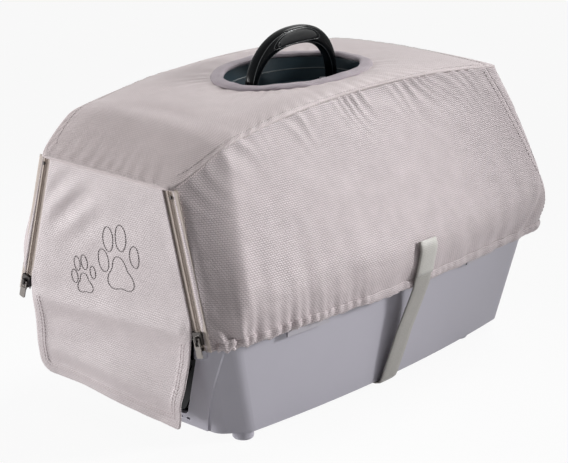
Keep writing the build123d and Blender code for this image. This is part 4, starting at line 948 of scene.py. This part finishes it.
def flap_half(z):
    """Half the flap's width at a height: along the zips, then in to its lower corners."""
    along_zip = zip_x(z) - zip_edge_gap
    free = free_low_half + (free_high_half - free_low_half) * (z - flap_low) / (hem_z - flap_low)
    return -free_softness * np.logaddexp(-along_zip / free_softness, -free / free_softness)


def flap_point(x, z, lift=0.0):
    """Point on the flap's outer face."""
    to_side = flap_half(z) - np.abs(x)
    free_part = np.clip((free_from - z) / free_over, 0, 1)
    hold = np.clip(to_side / hold_width, 0, 1) * (1 - free_part) + free_part
    hold = hold * np.clip((flap_top - z) / hold_width, 0, 1)
    push = unevenness(x, z, flap_layers)
    calm = 1 - 0.75 * np.exp(-np.clip(flap_half(z) + x, 0, 1) / 0.03)
    for height, size, tilt, width in flap_folds:
        push = push + calm * size * hill(z - height - tilt * x, width)
    crumple = ripple(0.62 * x - 0.78 * z, crumple_pitch, 0)
    push = push + crumple_size * crumple * hill(x - crumple_x, 0.035) * hill(z - crumple_z, 0.028)
    hang = np.sin(math.tau * x / hang_pitch + hang_shift)
    push = push + hang_size * hang * np.exp(-(z - flap_low) / hang_fade)
    from_edge = np.minimum(to_side + 0.5 * np.clip(z - hem_z, 0, 1), z - flap_low)
    doubled = turn_up_step / (1 + np.exp((from_edge - turn_up) / turn_up_softness))
    low_part = np.clip((corner_z - z) / corner_span, 0, 1) ** 1.5
    drop = right_drop * np.clip(x / 0.089, 0, 1) ** 1.5 * low_part
    rise = left_rise * np.clip((0.06 - x) / 0.10, 0, 1) * low_part
    swing = free_swing * np.clip((hem_z - z) / 0.083, 0, 1)
    out = np.clip(push * hold, -0.0012, 0.02) + doubled + lift
    return np.stack((x - swing, flap_y - out, z - drop + rise), axis=-1)


flap_v = np.linspace(0, 1, flap_rows)
flap_z = flap_low + (flap_top - flap_low) * (0.35 * flap_v ** 2 + 0.65 * flap_v)
flap_reach = []
for corner in flap_corners:
    corner_in = np.clip(corner - (flap_z - flap_low), 0, corner)
    flap_reach.append(flap_half(flap_z) - (corner - np.sqrt(corner ** 2 - corner_in ** 2)))
flap_left, flap_right = flap_reach
flap_width = flap_left + flap_right
flap_x = -flap_left[:, None] + flap_width[:, None] * np.linspace(0, 1, flap_columns)[None]
flap_zz = np.broadcast_to(flap_z[:, None], flap_x.shape)
flap_cloth = cloth("flap_cloth", (0.44, 0.384, 0.394), (0.73, 0.648, 0.660), 0.0030, 0.0020)
flap = sheet_piece("flap", flap_point(flap_x, flap_zz), np.dstack((flap_x, flap_zz)), flap_cloth, None)
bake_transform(flap)
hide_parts("front_flap")


def fine_line(points, step):
    """Points of a line and points between them, about one step apart; its last point is left out."""
    return np.concatenate([np.linspace(a, b, max(2, int(math.dist(a, b) / step)), endpoint=False)
                           for a, b in zip(points[:-1], points[1:])])


free_rows = []
for inset in (0.0080, 0.0115):
    halves = []
    for corner in flap_corners:
        radius = max(0.0015, corner - inset)
        low_z = flap_low + inset + radius
        trail = [(float(flap_half(z)) - inset, z) for z in np.linspace(hem_z, low_z, 40)]
        end_x = trail[-1][0] - radius
        trail += [(end_x + radius * math.cos(turn), low_z - radius * math.sin(turn))
                  for turn in np.linspace(0, math.pi / 2, 12)[1:]]
        halves.append(np.array(trail))
    row = fine_line(np.vstack((halves[1], halves[0][::-1] * (-1, 1))), 0.002)
    free_rows.append(flap_point(row[:, 0], row[:, 1], 0.0001))
hem_thread = plain_paint("hem_thread", (0.56, 0.47, 0.48))
grow_rows("flap_stitches", free_rows, 0.0034, 0.0030, 0.0006, hem_thread, "flap")


def paw_lines(centre_x, centre_z, size, tilt):
    """Outlines of a paw: one broad pad and four toes."""
    turn = np.linspace(0, math.tau, 60)
    lobed = 1 + 0.22 * np.cos(3 * (turn - math.pi / 2))
    shapes = ((0.10, -0.44, 0.47 * lobed, 0.46 * lobed), (-0.53, -0.06, 0.21, 0.33),
              (-0.24, 0.58, 0.20, 0.35), (0.27, 0.66, 0.21, 0.37), (0.77, 0.18, 0.18, 0.31))
    lines = []
    for x, z, half_x, half_z in shapes:
        px, pz = x + half_x * np.cos(turn), z + half_z * np.sin(turn)
        qx = centre_x + size * (px * math.cos(tilt) - pz * math.sin(tilt))
        qz = centre_z + size * (px * math.sin(tilt) + pz * math.cos(tilt))
        lines.append(flap_point(qx, qz, thread_lift))
    return lines


paw_thread = plain_paint("paw_thread", (0.16, 0.14, 0.145), 0.6)
both_paws = paw_lines(0.012, 0.174, 0.034, 0.10) + paw_lines(-0.036, 0.148, 0.020, 0.16)
grow_rows("paw_stitches", both_paws, 0.0026, 0.0027, 0.0009, paw_thread, "flap")

# Zips: woven beige tape with a row of slanted teeth on each of its two halves, one half sewn to
# the walls and one to the flap. Stops, sliders and pulls keep their constructed shape.
tape_y, tape_width, tape_near, tape_far, tape_thick = -0.2590, 0.0105, 0.0003, 0.0108, 0.0006
tape_lean, tape_room, tape_rows, tape_columns = 0.0005, 1.036, 60, 8
tooth_gap, tooth_lift, tooth_inset, tooth_slant = 0.00135, 0.0003, 0.003, math.radians(62)
tape_cloth = cloth("tape_cloth", (0.46, 0.390, 0.350), (0.60, 0.520, 0.470), 0.0009, 0.0009, rough=0.7,
                   depth=0.0001)
coil_paint = plain_paint("zip_teeth", (0.38, 0.31, 0.265), 0.4)
for side, sign in (("right", 1), ("left", -1)):
    for part, low, high, away in (("side", 0.1125, 0.2575, 1), ("flap", 0.1278, 0.2575, -1)):
        strip_z = np.linspace(low, high, tape_rows)
        strip_u = away * np.linspace(tape_near, tape_far, tape_columns)
        strip_x = sign * (zip_x(strip_z)[:, None] + strip_u[None])
        strip_y = tape_y + tape_lean * (np.abs(strip_u) / tape_far)
        strip = np.dstack(np.broadcast_arrays(strip_x, strip_y[None], strip_z[:, None]))
        if strip[0, -1, 0] < strip[0, 0, 0]:
            strip = strip[:, ::-1]
        tape = sheet_piece(f"zip_tape_{part}_{side}_cloth", strip, strip[:, :, ::2], tape_cloth, None,
                           tape_thick)
        tooth_z = np.linspace(low + tooth_inset, high - tooth_inset, 40)
        tooth_x = sign * (zip_x(tooth_z) + away * tooth_gap)
        tooth_line = np.column_stack((tooth_x, np.full(40, tape_y - tooth_lift), tooth_z))
        teeth = grow_rows(f"zip_teeth_{part}_{side}", [tooth_line], 0.0013, 0.0022, 0.0009, coil_paint,
                          None, tooth_slant)
        for piece in (tape, teeth):
            if part == "side":
                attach(piece, "box")
            else:
                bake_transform(piece)
        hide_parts(f"zip_tape_{part}_{side}")
        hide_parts(f"zip_coil_{part}_{side}")
dark_metal = bare_metal("dark_metal", (0.075, 0.070, 0.068), (0.13, 0.12, 0.115), 0.32)
pull_paint = moulded_plastic("pull_coating", (0.24, 0.215, 0.20), (0.30, 0.27, 0.25), 0.40, 0.00004)
dress("zip_stops", dark_metal)
for side in ("right", "left"):
    dress(f"zip_slider_{side}", dark_metal)
    dress(f"zip_pull_{side}", pull_paint)

# Strap: grey-beige webbing sewn to both walls under a doubled tab. It runs down outside the tray
# and under its floor, so that the cover can't ride up.
strap_half, strap_thick, strap_step = 0.0125, 0.0016, 0.004
tab_length, tab_thick, stitch_half = 0.0365, 0.0014, 0.0005
strap_across = strap_half * np.array((-1.0, -0.93, -0.5, 0.0, 0.5, 0.93, 1.0))
strap_crown = np.array((-0.0005, 0.0, 0.0001, 0.0001, 0.0001, 0.0, -0.0005))
strap_trail = np.array(((0.1664, 0.0150, 0.1598), (0.1692, 0.0149, 0.1540), (0.1690, 0.0147, 0.1490),
                        (0.1622, 0.0138, 0.1120), (0.1556, 0.0112, 0.0900), (0.1494, 0.0052, 0.0650),
                        (0.1446, 0.0010, 0.0420), (0.1402, -0.0030, 0.0220), (0.1382, -0.0046, 0.0130),
                        (0.1358, -0.0052, 0.0088), (0.1310, -0.0054, 0.0079), (0.0, -0.0056, 0.0079)))
strap_trail = np.vstack((strap_trail, strap_trail[-2::-1] * (-1, 1, 1)))
strap_fine = np.vstack((fine_line(strap_trail, strap_step), strap_trail[-1:]))
strap_at = lengths_along(strap_fine)
strap_length = float(strap_at[-1])


def strap_rows(first, last, lift):
    """Webbing between two lengths along the strap, raised off its line by lift."""
    at = np.linspace(first, last, max(4, int((last - first) / strap_step)))
    line = np.column_stack([np.interp(at, strap_at, strap_fine[:, i]) for i in range(3)])
    run = np.gradient(line, axis=0)
    run /= np.linalg.norm(run, axis=1, keepdims=True)
    wide = np.cross(run, np.cross(np.array((0.0, 1.0, 0.0)), run))
    wide /= np.linalg.norm(wide, axis=1, keepdims=True)
    out = np.cross(run, wide)
    sheet = (line[:, None] + wide[:, None] * strap_across[None, :, None]
             + out[:, None] * (strap_crown + lift)[None, :, None])
    return sheet, np.dstack(np.broadcast_arrays(strap_across[None], at[:, None]))


webbing = cloth("webbing", (0.305, 0.290, 0.272), (0.435, 0.415, 0.388), 0.0011, 0.0015, rough=0.5,
                depth=0.00015)
# Painted light: the tabs are the strap's own webbing, given a paler colour than the strap for the light
# on their folded ends.
painted_light_tab_web = cloth("painted_light_tab_web", (0.46, 0.445, 0.42), (0.66, 0.64, 0.60), 0.0011, 0.0015, rough=0.42,
                depth=0.00015)
strap_sheet, strap_uv = strap_rows(0, strap_length, strap_thick / 2)
strap = sheet_piece("strap", strap_sheet, strap_uv, webbing, "box", strap_thick)
for node in ("strap_right", "strap_left", "strap_under"):
    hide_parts(node)
tab_lines = []
for side, end, inward in (("right", 0.0, 1), ("left", strap_length, -1)):
    first, last = sorted((end, end + inward * tab_length))
    tab_sheet, tab_uv = strap_rows(first, last, strap_thick / 2 + tab_thick)
    tab = sheet_piece(f"strap_tab_{side}_web", tab_sheet, tab_uv, painted_light_tab_web, "box",
                      tab_thick)
    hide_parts(f"strap_tab_{side}")
    for inset, lift in ((0.004, 0.0015), (0.033, 0.0015), (0.150, 0.0001)):
        at = end + inward * inset
        rows, _ = strap_rows(at - stitch_half, at + stitch_half, strap_thick / 2 + lift)
        tab_lines.append(rows[1])
grow_rows("strap_stitches", tab_lines, 0.0030, 0.0025, 0.0008, pale_thread, "box")

low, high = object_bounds()
